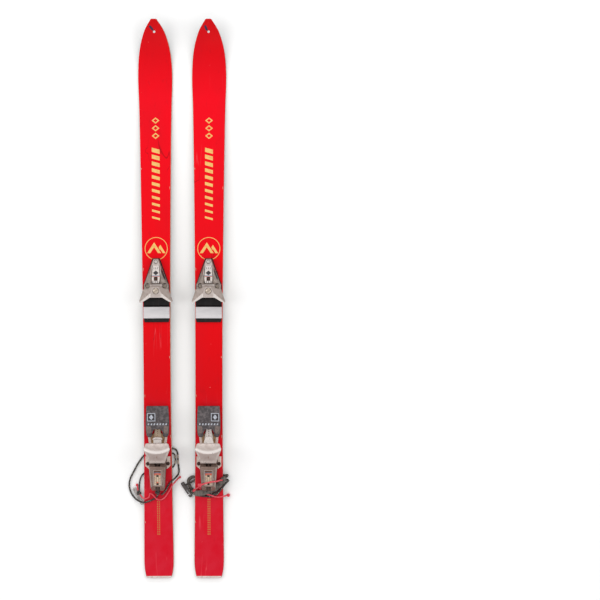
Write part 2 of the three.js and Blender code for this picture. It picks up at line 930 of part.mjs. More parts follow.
// A flat snap hook lying on the floor, with an eye at its first end and an open bill at the other.
function leashHook([[x0, s0], [x1, s1]]) {
  const length = Math.hypot(x1 - x0, s1 - s0);
  const { half, thickness: high } = HOOK;
  const outline = mirrored([
    [0, 0],
    [half - 1.6, 0],
    [half, 2],
    [half, length - 3],
    [half - 2, length],
    [0, length],
  ]);
  const throat = block([-1.4, 1.4], [length * 0.52, length - 5], [-1, 9]);
  const mouth = block([0, 9], [length - 10, length - 7.4], [-1, 9]);
  const eye = bar([0, 5.4, -1], [0, 5.4, 9], 1.8, 10);
  const geometry = toGeometry(cut(slab(outline, 0.3, high + 0.3), throat, mouth, eye));
  geometry.rotateZ(Math.atan2(x1 - x0, s1 - s0) + Math.PI);
  geometry.translate(x0, LENGTH / 2 - s0, 0);
  return toSolid(geometry);
}

function leashPieces(side) {
  const pieces = { leash_hook: leashHook(HOOKS[side]) };
  for (const [name, { diameter, steps, route }] of Object.entries(LEASHES[side])) {
    const points = route.map(([x, station, z]) => [x, LENGTH / 2 - station, z]);
    pieces[name] = toSolid(tube(points, diameter, steps));
  }
  return pieces;
}

// ---- The assembly -----------------------------------------------------------------------------

const FINISH = {
  running_base: [0x1c1b1c, 0.5, 0],
  steel_edge: [0x8d8a86, 0.4, 1],
  core: [0xb08a55, 0.8, 0],
  sidewall: [0xcdbb9a, 0.6, 0],
  top_sheet: [0xe00420, 0.35, 0],
  toe_base_plate: [0x161415, 0.6, 0],
  toe_glide_pad: [0xd9d6d6, 0.4, 0],
  toe_housing: [0xc3bab4, 0.35, 1],
  toe_wing: [0xc9c0ba, 0.35, 1],
  toe_pivot_screw: [0xb5aca2, 0.35, 1],
  heel_pad: [0x2e2c2d, 0.6, 0],
  heel_base: [0xa89c90, 0.4, 1],
  heel_strip: [0xa5937c, 0.4, 1],
  heel_housing: [0x8d8179, 0.45, 1],
  heel_jaw: [0xb9aea8, 0.35, 1],
  heel_pedal: [0xd6d0cb, 0.3, 1],
  leash_hook: [0xa9a7a4, 0.45, 1],
  leash_strap: [0x1d1c1e, 0.9, 0],
  leash_lanyard: [0x1d1c1e, 0.9, 0],
  pull_cord: [0xd8323c, 0.8, 0],
  tail_cord: [0xd8323c, 0.8, 0],
};
const STEEL = [0x8f8b86, 0.4, 1];

function addPieces(group, side, pieces) {
  for (const [name, solid] of Object.entries(pieces)) {
    const [color, roughness, metalness] = FINISH[name] ?? STEEL;
    const material = new THREE.MeshStandardMaterial({ color, roughness, metalness });
    const mesh = new THREE.Mesh(toGeometry(solid), material);
    mesh.name = `${side}_${name}`;
    group.add(mesh);
  }
}

function bindingGroup(station, lift, tilt) {
  const group = new THREE.Group();
  group.position.set(0, LENGTH / 2 - station, lift);
  group.rotation.x = tilt;
  return group;
}

function ski(side) {
  const group = new THREE.Group();
  addPieces(group, side, skiPieces());
  const toe = bindingGroup(TOE_STATION, TOE_LIFT, TOE_TILT);
  addPieces(toe, side, toePieces());
  const heel = bindingGroup(HEEL_STATION, HEEL_LIFT, HEEL_TILT);
  addPieces(heel, side, heelPieces());
  addPieces(group, side, leashPieces(side));
  group.add(toe, heel);
  return group;
}

const pair = new THREE.Group();
const left = ski("left");
left.position.x = SHIFT - SPACING / 2;
left.rotation.z = LEFT_YAW;
const right = ski("right");
right.position.x = SHIFT + SPACING / 2;
pair.add(left, right);

export default pair;
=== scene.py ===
"""A pair of alpine skis with bindings and cord leashes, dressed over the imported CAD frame.

Lengths are in millimetres in the local frame of a ski or of a binding, and become metres in a mesh. A
station is the distance behind the ski's tip. In a binding's frame x runs across, v forwards and w up.
"""

import math

import bmesh
import bpy
from mathutils import Matrix, Vector


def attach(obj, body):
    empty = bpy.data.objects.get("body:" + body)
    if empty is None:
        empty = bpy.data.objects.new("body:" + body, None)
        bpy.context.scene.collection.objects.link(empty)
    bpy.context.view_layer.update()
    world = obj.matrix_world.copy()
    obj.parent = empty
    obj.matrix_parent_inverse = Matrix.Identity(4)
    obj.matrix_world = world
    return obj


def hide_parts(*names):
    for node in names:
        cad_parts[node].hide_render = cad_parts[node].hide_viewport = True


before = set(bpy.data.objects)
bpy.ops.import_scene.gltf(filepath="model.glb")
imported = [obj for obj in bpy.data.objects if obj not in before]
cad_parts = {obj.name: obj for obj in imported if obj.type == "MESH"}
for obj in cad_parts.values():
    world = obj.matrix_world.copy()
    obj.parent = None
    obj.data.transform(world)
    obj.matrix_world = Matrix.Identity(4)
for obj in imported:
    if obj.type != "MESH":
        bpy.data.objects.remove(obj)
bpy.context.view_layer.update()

MM = 0.001
LENGTH = 1350.0
SIDES = {"left": (-60.8, 0.0079), "right": (65.5, 0.0)}  # each ski's place across, and its yaw
TOE = {"station": 655.0, "lift": 26.5, "tilt": -0.0105}
HEEL = {"station": 1068.0, "lift": 18.9, "tilt": 0.0436}


# ---- Frames ----


def ski_frame(side):
    x, yaw = SIDES[side]
    return Matrix.Translation((x * MM, 0, 0)) @ Matrix.Rotation(yaw, 4, "Z")


def binding_frame(side, binding):
    y = LENGTH / 2 - binding["station"]
    lift = Matrix.Translation((0, y * MM, binding["lift"] * MM))
    return ski_frame(side) @ lift @ Matrix.Rotation(binding["tilt"], 4, "X")


# ---- Solids: (points in mm, faces) ----


def stack(rings, closed_loop=False):
    """A closed solid from rings with the same number of points, each a closed outline."""
    count = len(rings[0])
    faces = []
    for i in range(len(rings) if closed_loop else len(rings) - 1):
        a, b = i * count, (i + 1) % len(rings) * count
        for k in range(count):
            n = (k + 1) % count
            faces.append((a + k, a + n, b + n, b + k))
    if not closed_loop:
        last = (len(rings) - 1) * count
        faces += [tuple(reversed(range(count))), tuple(range(last, last + count))]
    return [p for ring in rings for p in ring], faces


def raised(outline, height, extra=0.0):
    """The points of an outline of (x, v) at a height, which is a number or a function of x and v."""
    return [(x, v, (height(x, v) if callable(height) else height) + extra) for x, v in outline]


def plate(outline, low, high):
    return stack([raised(outline, low), raised(outline, high)])


def film(outline, deck, up, sink=0.4):
    """A thin print, up over its deck and sunk a little into it."""
    return stack([raised(outline, deck, -sink), raised(outline, deck, up)])


def rim(outer, inner, deck, up, sink):
    """A thin raised frame between two outlines."""
    loops = [raised(line, deck, h) for line, h in ((outer, -sink), (outer, up), (inner, up), (inner, -sink))]
    return stack(list(zip(*loops)), closed_loop=True)


def soft_plate(outline, low, high, bevel):
    """A plate with a bevelled upper edge."""
    return stack([raised(outline, low), raised(outline, high, -bevel), raised(inset(outline, bevel), high)])


def inset(outline, by):
    """The outline moved inwards, whichever way round it runs."""
    corners = [Vector(p) for p in outline]
    following = corners[1:] + corners[:1]
    area = sum(a.x * b.y - b.x * a.y for a, b in zip(corners, following))
    hand = 1 if area > 0 else -1
    moved = []
    for k, here in enumerate(corners):
        before = (here - corners[k - 1]).normalized()
        after = (following[k] - here).normalized()
        normal = Vector((-before.y - after.y, before.x + after.x)).normalized() * hand
        lean = max(0.35, Vector((-after.y, after.x)).dot(normal) * hand)
        moved.append(tuple(here + normal * by / lean))
    return moved


def mirrored(half):
    """A half outline from the middle line round to the middle line, closed by its mirror image."""
    return half + [(-x, v) for x, v in half if x != 0][::-1]


def quad(x0, x1, v0, v1):
    return [(x0, v0), (x1, v0), (x1, v1), (x0, v1)]


def box(x, v, w):
    return plate(quad(*x, *v), *w)


def turned(origin, axis, steps, sides=32):
    """A solid of revolution: steps are (distance along the axis, radius)."""
    axis = Vector(axis).normalized()
    helper = Vector((1, 0, 0)) if abs(axis.x) < 0.8 else Vector((0, 1, 0))
    across = axis.cross(helper).normalized()
    other = axis.cross(across)
    angles = [math.tau * k / sides for k in range(sides)]
    spokes = [across * math.cos(a) + other * math.sin(a) for a in angles]
    return stack([[tuple(Vector(origin) + axis * d + spoke * r) for spoke in spokes] for d, r in steps])


def bar(start, end, radius, sides=32):
    axis = Vector(end) - Vector(start)
    return turned(start, axis, [(0, radius), (axis.length, radius)], sides)


def ball(centre, radius, rows=16):
    angles = [math.pi * k / rows for k in range(1, rows)]
    return turned(centre, (0, 0, 1), [(-radius * math.cos(a), radius * math.sin(a)) for a in angles])


def above(a, b, c, reach=90.0, depth=60.0):
    """Everything above the plane through three points, as a cutter."""
    a, b, c = Vector(a), Vector(b), Vector(c)
    normal = (b - a).cross(c - a).normalized()
    normal = normal if normal.z > 0 else -normal
    across = normal.cross((0, 1, 0)).normalized() * reach
    other = normal.cross(across)
    low = [a - across - other, a + across - other, a + across + other, a - across + other]
    return stack([[tuple(p) for p in low], [tuple(p + normal * depth) for p in low]])


def both(make_one, *arguments):
    """The solids for the right hand and, mirrored, the left."""
    points, faces = make_one(*arguments)
    return [(points, faces), ([(-x, v, w) for x, v, w in points], [tuple(reversed(f)) for f in faces])]


def cad_solid(node, matrix):
    """A CAD node's own solid, brought into a local frame."""
    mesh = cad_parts[node].data
    home = matrix.inverted()
    return [tuple(home @ v.co / MM) for v in mesh.vertices], [tuple(p.vertices) for p in mesh.polygons]


# ---- Meshes and pieces ----


def linked(name, data):
    thing = bpy.data.objects.new(name, data)
    bpy.context.scene.collection.objects.link(thing)
    return thing


def raw_mesh(solids):
    """One mesh of several closed solids, with every face turned outwards."""
    mesh = bpy.data.meshes.new("solids")
    shape = bmesh.new()
    for points, faces in solids:
        corners = [shape.verts.new([c * MM for c in p]) for p in points]
        for face in faces:
            try:
                shape.faces.new([corners[k] for k in face])
            except ValueError:
                continue
    bmesh.ops.remove_doubles(shape, verts=shape.verts, dist=1e-7)
    bmesh.ops.recalc_face_normals(shape, faces=shape.faces)
    shape.to_mesh(mesh)
    shape.free()
    return mesh


def settled(mesh, *modifiers):
    """The mesh with (kind, settings) modifiers applied."""
    holder = linked("holder", mesh)
    for kind, settings in modifiers:
        modifier = holder.modifiers.new(kind, kind)
        for key, value in settings.items():
            setattr(modifier, key, value)
    graph = bpy.context.evaluated_depsgraph_get()
    result = bpy.data.meshes.new_from_object(holder.evaluated_get(graph))
    bpy.data.objects.remove(holder)
    return result


def shaded(mesh, angle):
    mesh.shade_smooth()
    mesh.set_sharp_from_angle(angle=math.radians(angle))
    return mesh


def carved(mesh, cutters):
    """The mesh with the cutters taken away, each in turn."""
    for solid in cutters:
        tool = linked("tool", raw_mesh([solid]))
        settings = {"operation": "DIFFERENCE", "solver": "EXACT", "object": tool}
        mesh = settled(mesh, ("BOOLEAN", settings))
        bpy.data.objects.remove(tool)
    return mesh


def solid_mesh(solids, cutters=(), angle=40):
    return shaded(carved(raw_mesh(solids), cutters), angle)


def one_skin(voxel):
    return "REMESH", {"mode": "VOXEL", "voxel_size": voxel * MM, "adaptivity": 0.0}


def cast(solids, cutters=(), voxel=0.5, smooth=2, keep=0.35):
    """A casting or moulding: one skin over the solids, with soft edges, less the cutters."""
    mesh = raw_mesh(solids)
    if len(solids) > 1 and cutters:
        mesh = settled(mesh, one_skin(voxel * 0.8))
    soft = "SMOOTH", {"factor": 0.5, "iterations": smooth}
    fewer = "DECIMATE", {"ratio": keep}
    return shaded(settled(carved(mesh, cutters), one_skin(voxel), soft, fewer), 35)


def recast(node, binding, cutters, *settings):
    """A casting in the shape of a binding's CAD node, which is alike on both skis."""
    return cast([cad_solid(f"left_{node}", binding_frame("left", binding))], cutters, *settings)


def paint(mesh, finishes, choose):
    """Gives each face one of several finishes: choose gets its centre in mm and its normal."""
    mesh.materials.clear()
    for finish in finishes:
        mesh.materials.append(FINISHES[finish])
    for polygon in mesh.polygons:
        polygon.material_index = choose(polygon.center / MM, polygon.normal)
    return mesh


def piece(name, mesh, matrix, body, slot, finish, stands_for=()):
    """A visible piece, which rides on a CAD body. A painted mesh keeps its finishes."""
    thing = linked(name, mesh)
    thing.matrix_world = matrix
    if len(mesh.materials) < 2:
        mesh.materials.clear()
        mesh.materials.append(FINISHES[finish])
    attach(thing, body)
    if stands_for:
        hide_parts(*stands_for)
    return thing


def dress(side, matrix, rows):
    """One side's pieces from rows of (name, mesh, body, slot, and the finish where it isn't the slot's).

    A name that ends in _skin stands for the CAD node of that name.
    """
    for name, mesh, body, slot, *finish in rows:
        node = f"{side}_{name.removesuffix('_skin')}"
        stands_for = [node] if name.endswith("_skin") else []
        piece(f"{side}_{name}", mesh, matrix, f"{side}_{body}", slot, *(finish or [slot]), stands_for)


# ---- Materials ----


def linear_light(code):
    """A colour as it looks on a screen, given as six hexadecimal digits, as linear light."""
    linear = []
    for k in (0, 2, 4):
        c = int(code[k : k + 2], 16) / 255
        linear.append(c / 12.92 if c <= 0.04045 else ((c + 0.055) / 1.055) ** 2.4)
    return (*linear, 1.0)


class Finish:
    """A node material: its shader, and short calls that add pattern nodes in the piece's own frame."""

    def __init__(self, name, roughness=0.5, metallic=0.0, specular=0.5):
        self.material = bpy.data.materials.new(name)
        self.material.use_nodes = True
        self.tree = self.material.node_tree
        self.shader = self.tree.nodes["Principled BSDF"]
        inputs = {"Roughness": roughness, "Metallic": metallic, "Specular IOR Level": specular}
        self.feed(self.shader, inputs)
        self.here = self.node("TexCoord").outputs["Object"]

    def feed(self, node, inputs):
        """Sets a node's inputs, each from a node's output, a colour code or a value."""
        for key, value in inputs.items():
            if isinstance(value, bpy.types.NodeSocket):
                self.tree.links.new(value, node.inputs[key])
            else:
                node.inputs[key].default_value = linear_light(value) if isinstance(value, str) else value

    def node(self, kind, inputs=None, **settings):
        node = self.tree.nodes.new("ShaderNode" + kind)
        for key, value in settings.items():
            setattr(node, key, value)
        self.feed(node, inputs or {})
        return node

    def stretched(self, scale, offset=(0, 0, 0)):
        inputs = {"Scale": scale, "Location": offset, "Vector": self.here}
        return self.node("Mapping", inputs).outputs["Vector"]

    def noise(self, size_mm, detail=3.0, scale=(1, 1, 1), offset=(0, 0, 0), warp=0.0):
        place = self.stretched(scale, offset)
        inputs = {"Scale": 1000 / size_mm, "Detail": detail, "Distortion": warp, "Vector": place}
        return self.node("TexNoise", inputs).outputs["Fac"]

    def axis(self, letter, source=None):
        return self.node("SeparateXYZ", {0: source or self.here}).outputs[letter]

    def math(self, kind, a, b=0.0, c=0.0):
        return self.node("Math", {0: a, 1: b, 2: c}, operation=kind).outputs[0]

    def times(self, a, b):
        return self.math("MULTIPLY", a, b)

    def between(self, value, low, high, start=0.0, end=1.0):
        """start below low and end above high, with a straight ramp from one to the other."""
        inputs = {"From Min": low, "From Max": high, "To Min": start, "To Max": end, "Value": value}
        return self.node("MapRange", inputs).outputs["Result"]

    def ramp(self, value, *stops):
        node = self.node("ValToRGB", {"Fac": value})
        elements = node.color_ramp.elements
        while len(elements) < len(stops):
            elements.new(0.5)
        for element, (position, code) in zip(elements, stops):
            element.position = position
            element.color = linear_light(code)
        return node.outputs["Color"]

    def mix(self, factor, a, b):
        """A mix of two colours: inputs 6 and 7 of the node, and its output 2."""
        return self.node("Mix", {0: factor, 6: a, 7: b}, data_type="RGBA").outputs[2]

    def bump(self, *layers):
        """Relief from (height, depth in mm) layers, one over the other."""
        below = {}
        for height, depth in layers:
            node = self.node("Bump", {"Strength": 1.0, "Distance": depth * MM, "Height": height, **below})
            below = {"Normal": node.outputs["Normal"]}
        self.feed(self.shader, below)

    def done(self, colour, roughness=None):
        self.feed(self.shader, {"Base Color": colour})
        if roughness is not None:
            self.feed(self.shader, {"Roughness": roughness})
        return self.material


def scratches(f, size_mm, share, along=0.04, offset=(0, 0, 0)):
    """A mask of thin scratches: 1 on a scratch. share is how much of the surface has any."""
    lines = f.noise(size_mm, 2.0, (1, along, 1), offset, 0.6)
    line = f.between(f.math("ABSOLUTE", f.math("SUBTRACT", lines, 0.5)), 0.0, 0.008, 1.0, 0.0)
    patch = f.between(f.noise(size_mm * 6, 2.0, offset=offset), 0.62 - share * 0.2, 0.66 - share * 0.2)
    return f.times(line, patch)


def red_top(side, shift):
    """Screen-printed red: a little darker at the tip and duller at the tail, with scuffs and scratches."""
    f = Finish(f"red_top_{side}", 0.36, 0.0, 0.1)
    y = f.axis("Y")
    from_tail = f.between(y, -0.675, 0.675)
    tail_half = (0, "cc0e26"), (0.17, "d00820"), (0.34, "d1000a")
    tip_half = (0.52, "e5000e"), (0.86, "ee021a"), (1, "cc0006")
    red = f.ramp(from_tail, *tail_half, *tip_half)
    cloud = f.noise(70, 3.0, (1, 0.5, 1), (shift, shift, 0))
    worn = f.times(f.between(y, 0.05, -0.45), f.noise(24, 4.0))
    dust = f.noise(9, 5.0, (1, 0.35, 1), (shift, 0, 0))
    fine = scratches(f, 26, 0.35, offset=(shift, 0.3, 0))
    deep = scratches(f, 44, 0.25, 0.3, (0, shift, 0))
    chip = f.noise(5, 2.0, offset=(0, shift, 0))
    for mask, colour in (
        (f.between(cloud, 0.42, 0.75, 0.0, 0.3), "c4081a"),
        (f.between(worn, 0.3, 0.62, 0.0, 0.3), "ce3042"),
        (f.between(dust, 0.6, 0.8, 0.0, 0.32), "a80e1a"),
        (f.times(fine, 0.3), "f06e74"),
        (f.times(deep, 0.6), "780610"),
        (f.between(chip, 0.79, 0.82, 0.0, 0.8), "f4968c"),
    ):
        red = f.mix(mask, red, colour)
    f.bump((f.noise(140, 2.0), 0.25), (fine, 0.03))
    return f.done(red, f.between(cloud, 0.3, 0.75, 0.3, 0.52))


def edged(name, base, grime, roughness, metallic, relief_mm, size_mm, specular=0.5, mark=None):
    """A plain material with soft blotches of grime, fine relief and a few scratches.

    mark adds a part's own pattern to the colour, or a painted highlight and painted shade.
    """
    f = Finish(name, roughness, metallic, specular)
    blotch = f.noise(size_mm, 4.0)
    colour = f.mix(f.between(blotch, 0.42, 0.74, 0.0, 0.75), base, grime)
    if mark:
        colour = mark(f, colour)
    line = scratches(f, size_mm * 2.5, 0.4, 0.15)
    lighter = tuple(min(1.0, c * 1.35 + 0.02) for c in linear_light(base)[:3]) + (1.0,)
    colour = f.mix(f.times(line, 0.6), colour, lighter)
    f.bump((f.noise(0.8, 3.0), relief_mm), (line, 0.02))
    low, high = max(0.05, roughness - 0.1), min(1.0, roughness + 0.14)
    return f.done(colour, f.between(blotch, 0.3, 0.7, low, high))


def crest_highlight_and_wall_shade(f, colour):
    """Painted highlight along the jaw's bowed crest, and painted shade, greyer, on its steep walls."""
    across = f.axis("X")
    crest = f.math("MULTIPLY_ADD", f.times(across, across), 8.845, 0.0282)
    away = f.math("ABSOLUTE", f.math("SUBTRACT", f.axis("Y"), crest))
    # Painted highlight: a pale band along the crest.
    colour = f.mix(f.between(away, 0.0014, 0.0058, 0.85, 0.0), colour, "eee6e2")
    # Painted shade: greyer where the surface turns steep.
    upward = f.axis("Z", f.node("TexCoord").outputs["Normal"])
    return f.mix(f.between(upward, 0.2, 0.6, 0.9, 0.0), colour, "8c7c74")


def flank_plate(f, colour):
    """The black plate let into the toe housing's right flank."""
    along = f.axis("Y")
    inward = f.math("SUBTRACT", f.math("MULTIPLY_ADD", along, -0.3613, 0.03466), f.axis("X"))
    mask = f.between(inward, 0.0006, 0.001)
    for other in (
        f.between(inward, 0.0046, 0.0053, 1.0, 0.0),
        f.between(along, 0.025, 0.031),
        f.between(along, 0.047, 0.055, 1.0, 0.0),
    ):
        mask = f.times(mask, other)
    return f.mix(mask, colour, "161212")


def glide_finish():
    """Pale moulded plastic with fine ribs across, and grey rubbing marks."""
    f = Finish("glide_plastic", 0.42, 0.0, 0.4)
    ribs = f.math("SINE", f.times(f.axis("Y"), math.tau / 0.0017))
    smear = f.noise(14, 4.0, (0.25, 1, 1))
    colour = f.mix(f.between(smear, 0.45, 0.7, 0.0, 0.5), "dedadb", "bab6b8")
    # Painted shade: a darker grey in the troughs between the ribs.
    colour = f.mix(f.between(ribs, -1.0, -0.2, 0.4, 0.0), colour, "aaa6a8")
    colour = f.mix(f.between(f.noise(3, 2.0), 0.76, 0.8, 0.0, 0.6), colour, "78706e")
    f.bump((ribs, 0.1), (smear, 0.05))
    return f.done(colour)


def wood_finish():
    f = Finish("wood_core", 0.7)
    grain = f.noise(5, 5.0, (1, 0.03, 1), (0, 0, 0), 0.4)
    f.bump((grain, 0.05))
    return f.done(f.ramp(grain, (0.3, "967042"), (0.7, "ceaa76")))


def braid_finish(name, thread, fleck, flecked, roughness=0.7):
    """A braided cord: crossing strands from the tube's own map, with strands of another colour."""
    f = Finish(name, roughness, 0.0, 0.25)
    f.here = f.node("TexCoord").outputs["UV"]
    around, run = f.axis("X"), f.axis("Y")
    strands = []
    for hand in (-1, 1):
        phase = f.math("ADD", f.times(around, 6.0 * hand), run)
        strands.append(f.math("SINE", f.times(phase, math.tau)))
    weave = f.times(*strands)
    cell = f.node("VectorMath", {0: f.stretched((6, 2, 1))}, operation="FLOOR").outputs[0]
    chance = f.node("TexWhiteNoise", {"Vector": cell}, noise_dimensions="2D").outputs["Value"]
    pick = f.times(f.between(chance, 1 - flecked, 1.001 - flecked), f.between(weave, -0.1, 0.3))
    colour = f.mix(pick, thread, fleck)
    # Painted shade: near black in the gaps between the strands.
    colour = f.mix(f.between(weave, -0.9, 0.1, 0.45, 0.0), colour, (0.01, 0.008, 0.008, 1.0))
    f.bump((weave, 0.22))
    return f.done(colour)


# Colour, grime, roughness, metallic, relief in mm, size of the blotches in mm, then specular and a mark.
PLAIN = {
    "gold_print": ("ecbe6a", "dea050", 0.5, 0, 0.01, 6),
    "worn_gold_print": ("ba7832", "c43c32", 0.55, 0, 0.01, 3),
    "sidewall": ("d0c0a6", "a08e76", 0.6, 0, 0.03, 12),
    "tail_cap": ("d8cec8", "aa9e96", 0.5, 0, 0.03, 6),
    "edge_steel": ("96928c", "765840", 0.38, 1, 0.02, 9),
    "base_plastic": ("282729", "424042", 0.45, 0, 0.02, 20),
    "black_plastic": ("0c090a", "221c1c", 0.4, 0, 0.03, 9, 0.25),
    "worn_black_plastic": ("423c3e", "7a7172", 0.6, 0, 0.06, 7, 0.4),
    "pad_leg_plastic": ("7a6a64", "4a3e3c", 0.65, 0, 0.06, 3),
    "cast_metal": ("c4b8b2", "a89891", 0.36, 0.4, 0.02, 9),
    # Partly the metal's own polish, partly a painted highlight on the toe wing's facets that face the boot.
    "polished_metal": ("e2d9d4", "cec2bc", 0.26, 0.35, 0.01, 8),
    "worn_cast_metal": ("b0a09a", "9c8a84", 0.42, 0.35, 0.015, 9),
    "housing_metal": ("826b61", "644f46", 0.4, 0.4, 0.02, 8),
    "worn_steel": ("baa690", "8c623e", 0.36, 0.4, 0.03, 5),
    "ear_steel": ("e0d0c8", "baa08e", 0.34, 0.3, 0.02, 6),
    "screw_steel": ("c4b6a8", "8c7662", 0.34, 0.5, 0.02, 2.5),
    "dark_screw_steel": ("463430", "705446", 0.45, 0.6, 0.04, 2),
    "spring_steel": ("787674", "544c46", 0.35, 1, 0.02, 3),
    "indicator": ("805442", "603c30", 0.5, 0, 0.02, 2),
    "hook_metal": ("b6b0ad", "928a86", 0.42, 0.3, 0.03, 5),
    "dark_print": ("282328", "403a3c", 0.55, 0, 0.01, 2),
    "blue_print": ("607c9e", "8292aa", 0.5, 0, 0.01, 2),
    "orange_print": ("ce6046", "c47c64", 0.5, 0, 0.01, 2),
    "cream_label": ("ceb8a0", "ac9074", 0.55, 0, 0.01, 2),
    "brown_print": ("704a3a", "8c644e", 0.55, 0, 0.01, 1.5),
    "white_print": ("bcc0ca", "706e76", 0.5, 0, 0.01, 2.6),
    # A greyer copy of the cast metal: painted shade on the toe wing's walls and outward facets, and a paler
    # painted highlight on the heel housing's chamfers.
    "shade_and_highlight_metal": ("9e918a", "80726a", 0.36, 0.4, 0.02, 7),
    "rusted_steel": ("a88460", "704a2c", 0.5, 0.3, 0.04, 4),
    "dark_hook": ("56504f", "3a3535", 0.6, 0.1, 0.06, 3),
    "red_bead": ("d82c3e", "b41a2e", 0.4, 0, 0.02, 3),
    "ferrule_metal": ("c4b6aa", "96806e", 0.32, 0.7, 0.02, 2),
    "tip_mark": ("140c3a", "281034", 0.5, 0, 0.01, 3),
    # The jaw's metal, with a painted highlight along its crest and painted shade on its steep walls.
    "jaw_metal": ("beb1ab", "a4938c", 0.34, 0.4, 0.02, 8, 0.5, crest_highlight_and_wall_shade),
    # A greyer copy of the cast metal, painted shade on the toe housing's flanks and walls, with the black
    # plate on its right flank.
    "toe_flank": ("90837b", "72645c", 0.36, 0.4, 0.02, 7, 0.5, flank_plate),
    # Painted shade, dark, on the sunk floors of the toe housing's grooves and recesses.
    "groove_shade_metal": ("74655c", "584a42", 0.5, 0.3, 0.02, 4),
}
FINISHES = {name: edged(name, *row) for name, row in PLAIN.items()} | {
    "red_left": red_top("left", 1.7),
    "red_right": red_top("right", 5.3),
    "wood": wood_finish(),
    "glide_plastic": glide_finish(),
    "black_cord": braid_finish("black_cord", "443f3d", "b0a89c", 0.16),
    "grey_webbing": braid_finish("grey_webbing", "706862", "3c3735", 0.35),
    "red_cord": braid_finish("red_cord", "f45462", "fca0a4", 0.16, 0.6),
}


# ---- Studio and camera ----

CAMERA_HEIGHT = 6.0
CAMERA_PLACE = (0.286, -0.0013)
VIEW_WIDTH = 1.452  # metres across the picture at the height of the skis
SKI_HEIGHT = 0.02
SENSOR = 36.0
# Each softbox's place, size and power. All face the middle of the floor.
SOFTBOXES = {
    "left_softbox": ((-2.6, 0.2, 2.8), (1.4, 3.0), 31),
    "right_softbox": ((2.9, 0.2, 2.8), (1.4, 3.0), 23),
    "head_softbox": ((0.0, 2.9, 2.6), (2.6, 1.2), 24),
    "foot_softbox": ((0.0, -2.9, 2.6), (2.6, 1.2), 11),
}


def set_camera():
    data = bpy.data.cameras.new("camera")
    data.sensor_width = SENSOR
    data.lens = SENSOR * (CAMERA_HEIGHT - SKI_HEIGHT) / VIEW_WIDTH
    data.clip_end = 40
    camera = linked("camera", data)
    camera.location = (*CAMERA_PLACE, CAMERA_HEIGHT)
    bpy.context.scene.camera = camera


def set_light():
    world = bpy.data.worlds.new("studio")
    world.use_nodes = True
    sky = world.node_tree.nodes["Background"]
    sky.inputs["Color"].default_value = (1.0, 1.0, 1.0, 1.0)
    sky.inputs["Strength"].default_value = 0.73
    bpy.context.scene.world = world
    bpy.context.scene.view_settings.view_transform = "Standard"
    for name, (place, size, power) in SOFTBOXES.items():
        data = bpy.data.lights.new(name, "AREA")
        data.shape = "RECTANGLE"
        data.size, data.size_y = size
        data.energy = power
        lamp = linked(name, data)
        lamp.location = place
        lamp.rotation_euler = (-Vector(place)).to_track_quat("-Z", "Y").to_euler()


def set_floor():
    f = Finish("floor", 0.9, 0.0, 0.1)
    greys = [(grey, grey, grey, 1.0) for grey in (0.985, 0.97)]
    colour = f.mix(f.between(f.noise(900, 2.0), 0.3, 0.7), *greys)
    floor = linked("floor", raw_mesh([plate(quad(-9000, 9000, -9000, 9000), -20, -0.4)]))
    floor.data.materials.append(f.done(colour))


set_camera()
set_light()
set_floor()


# ---- Cords ----

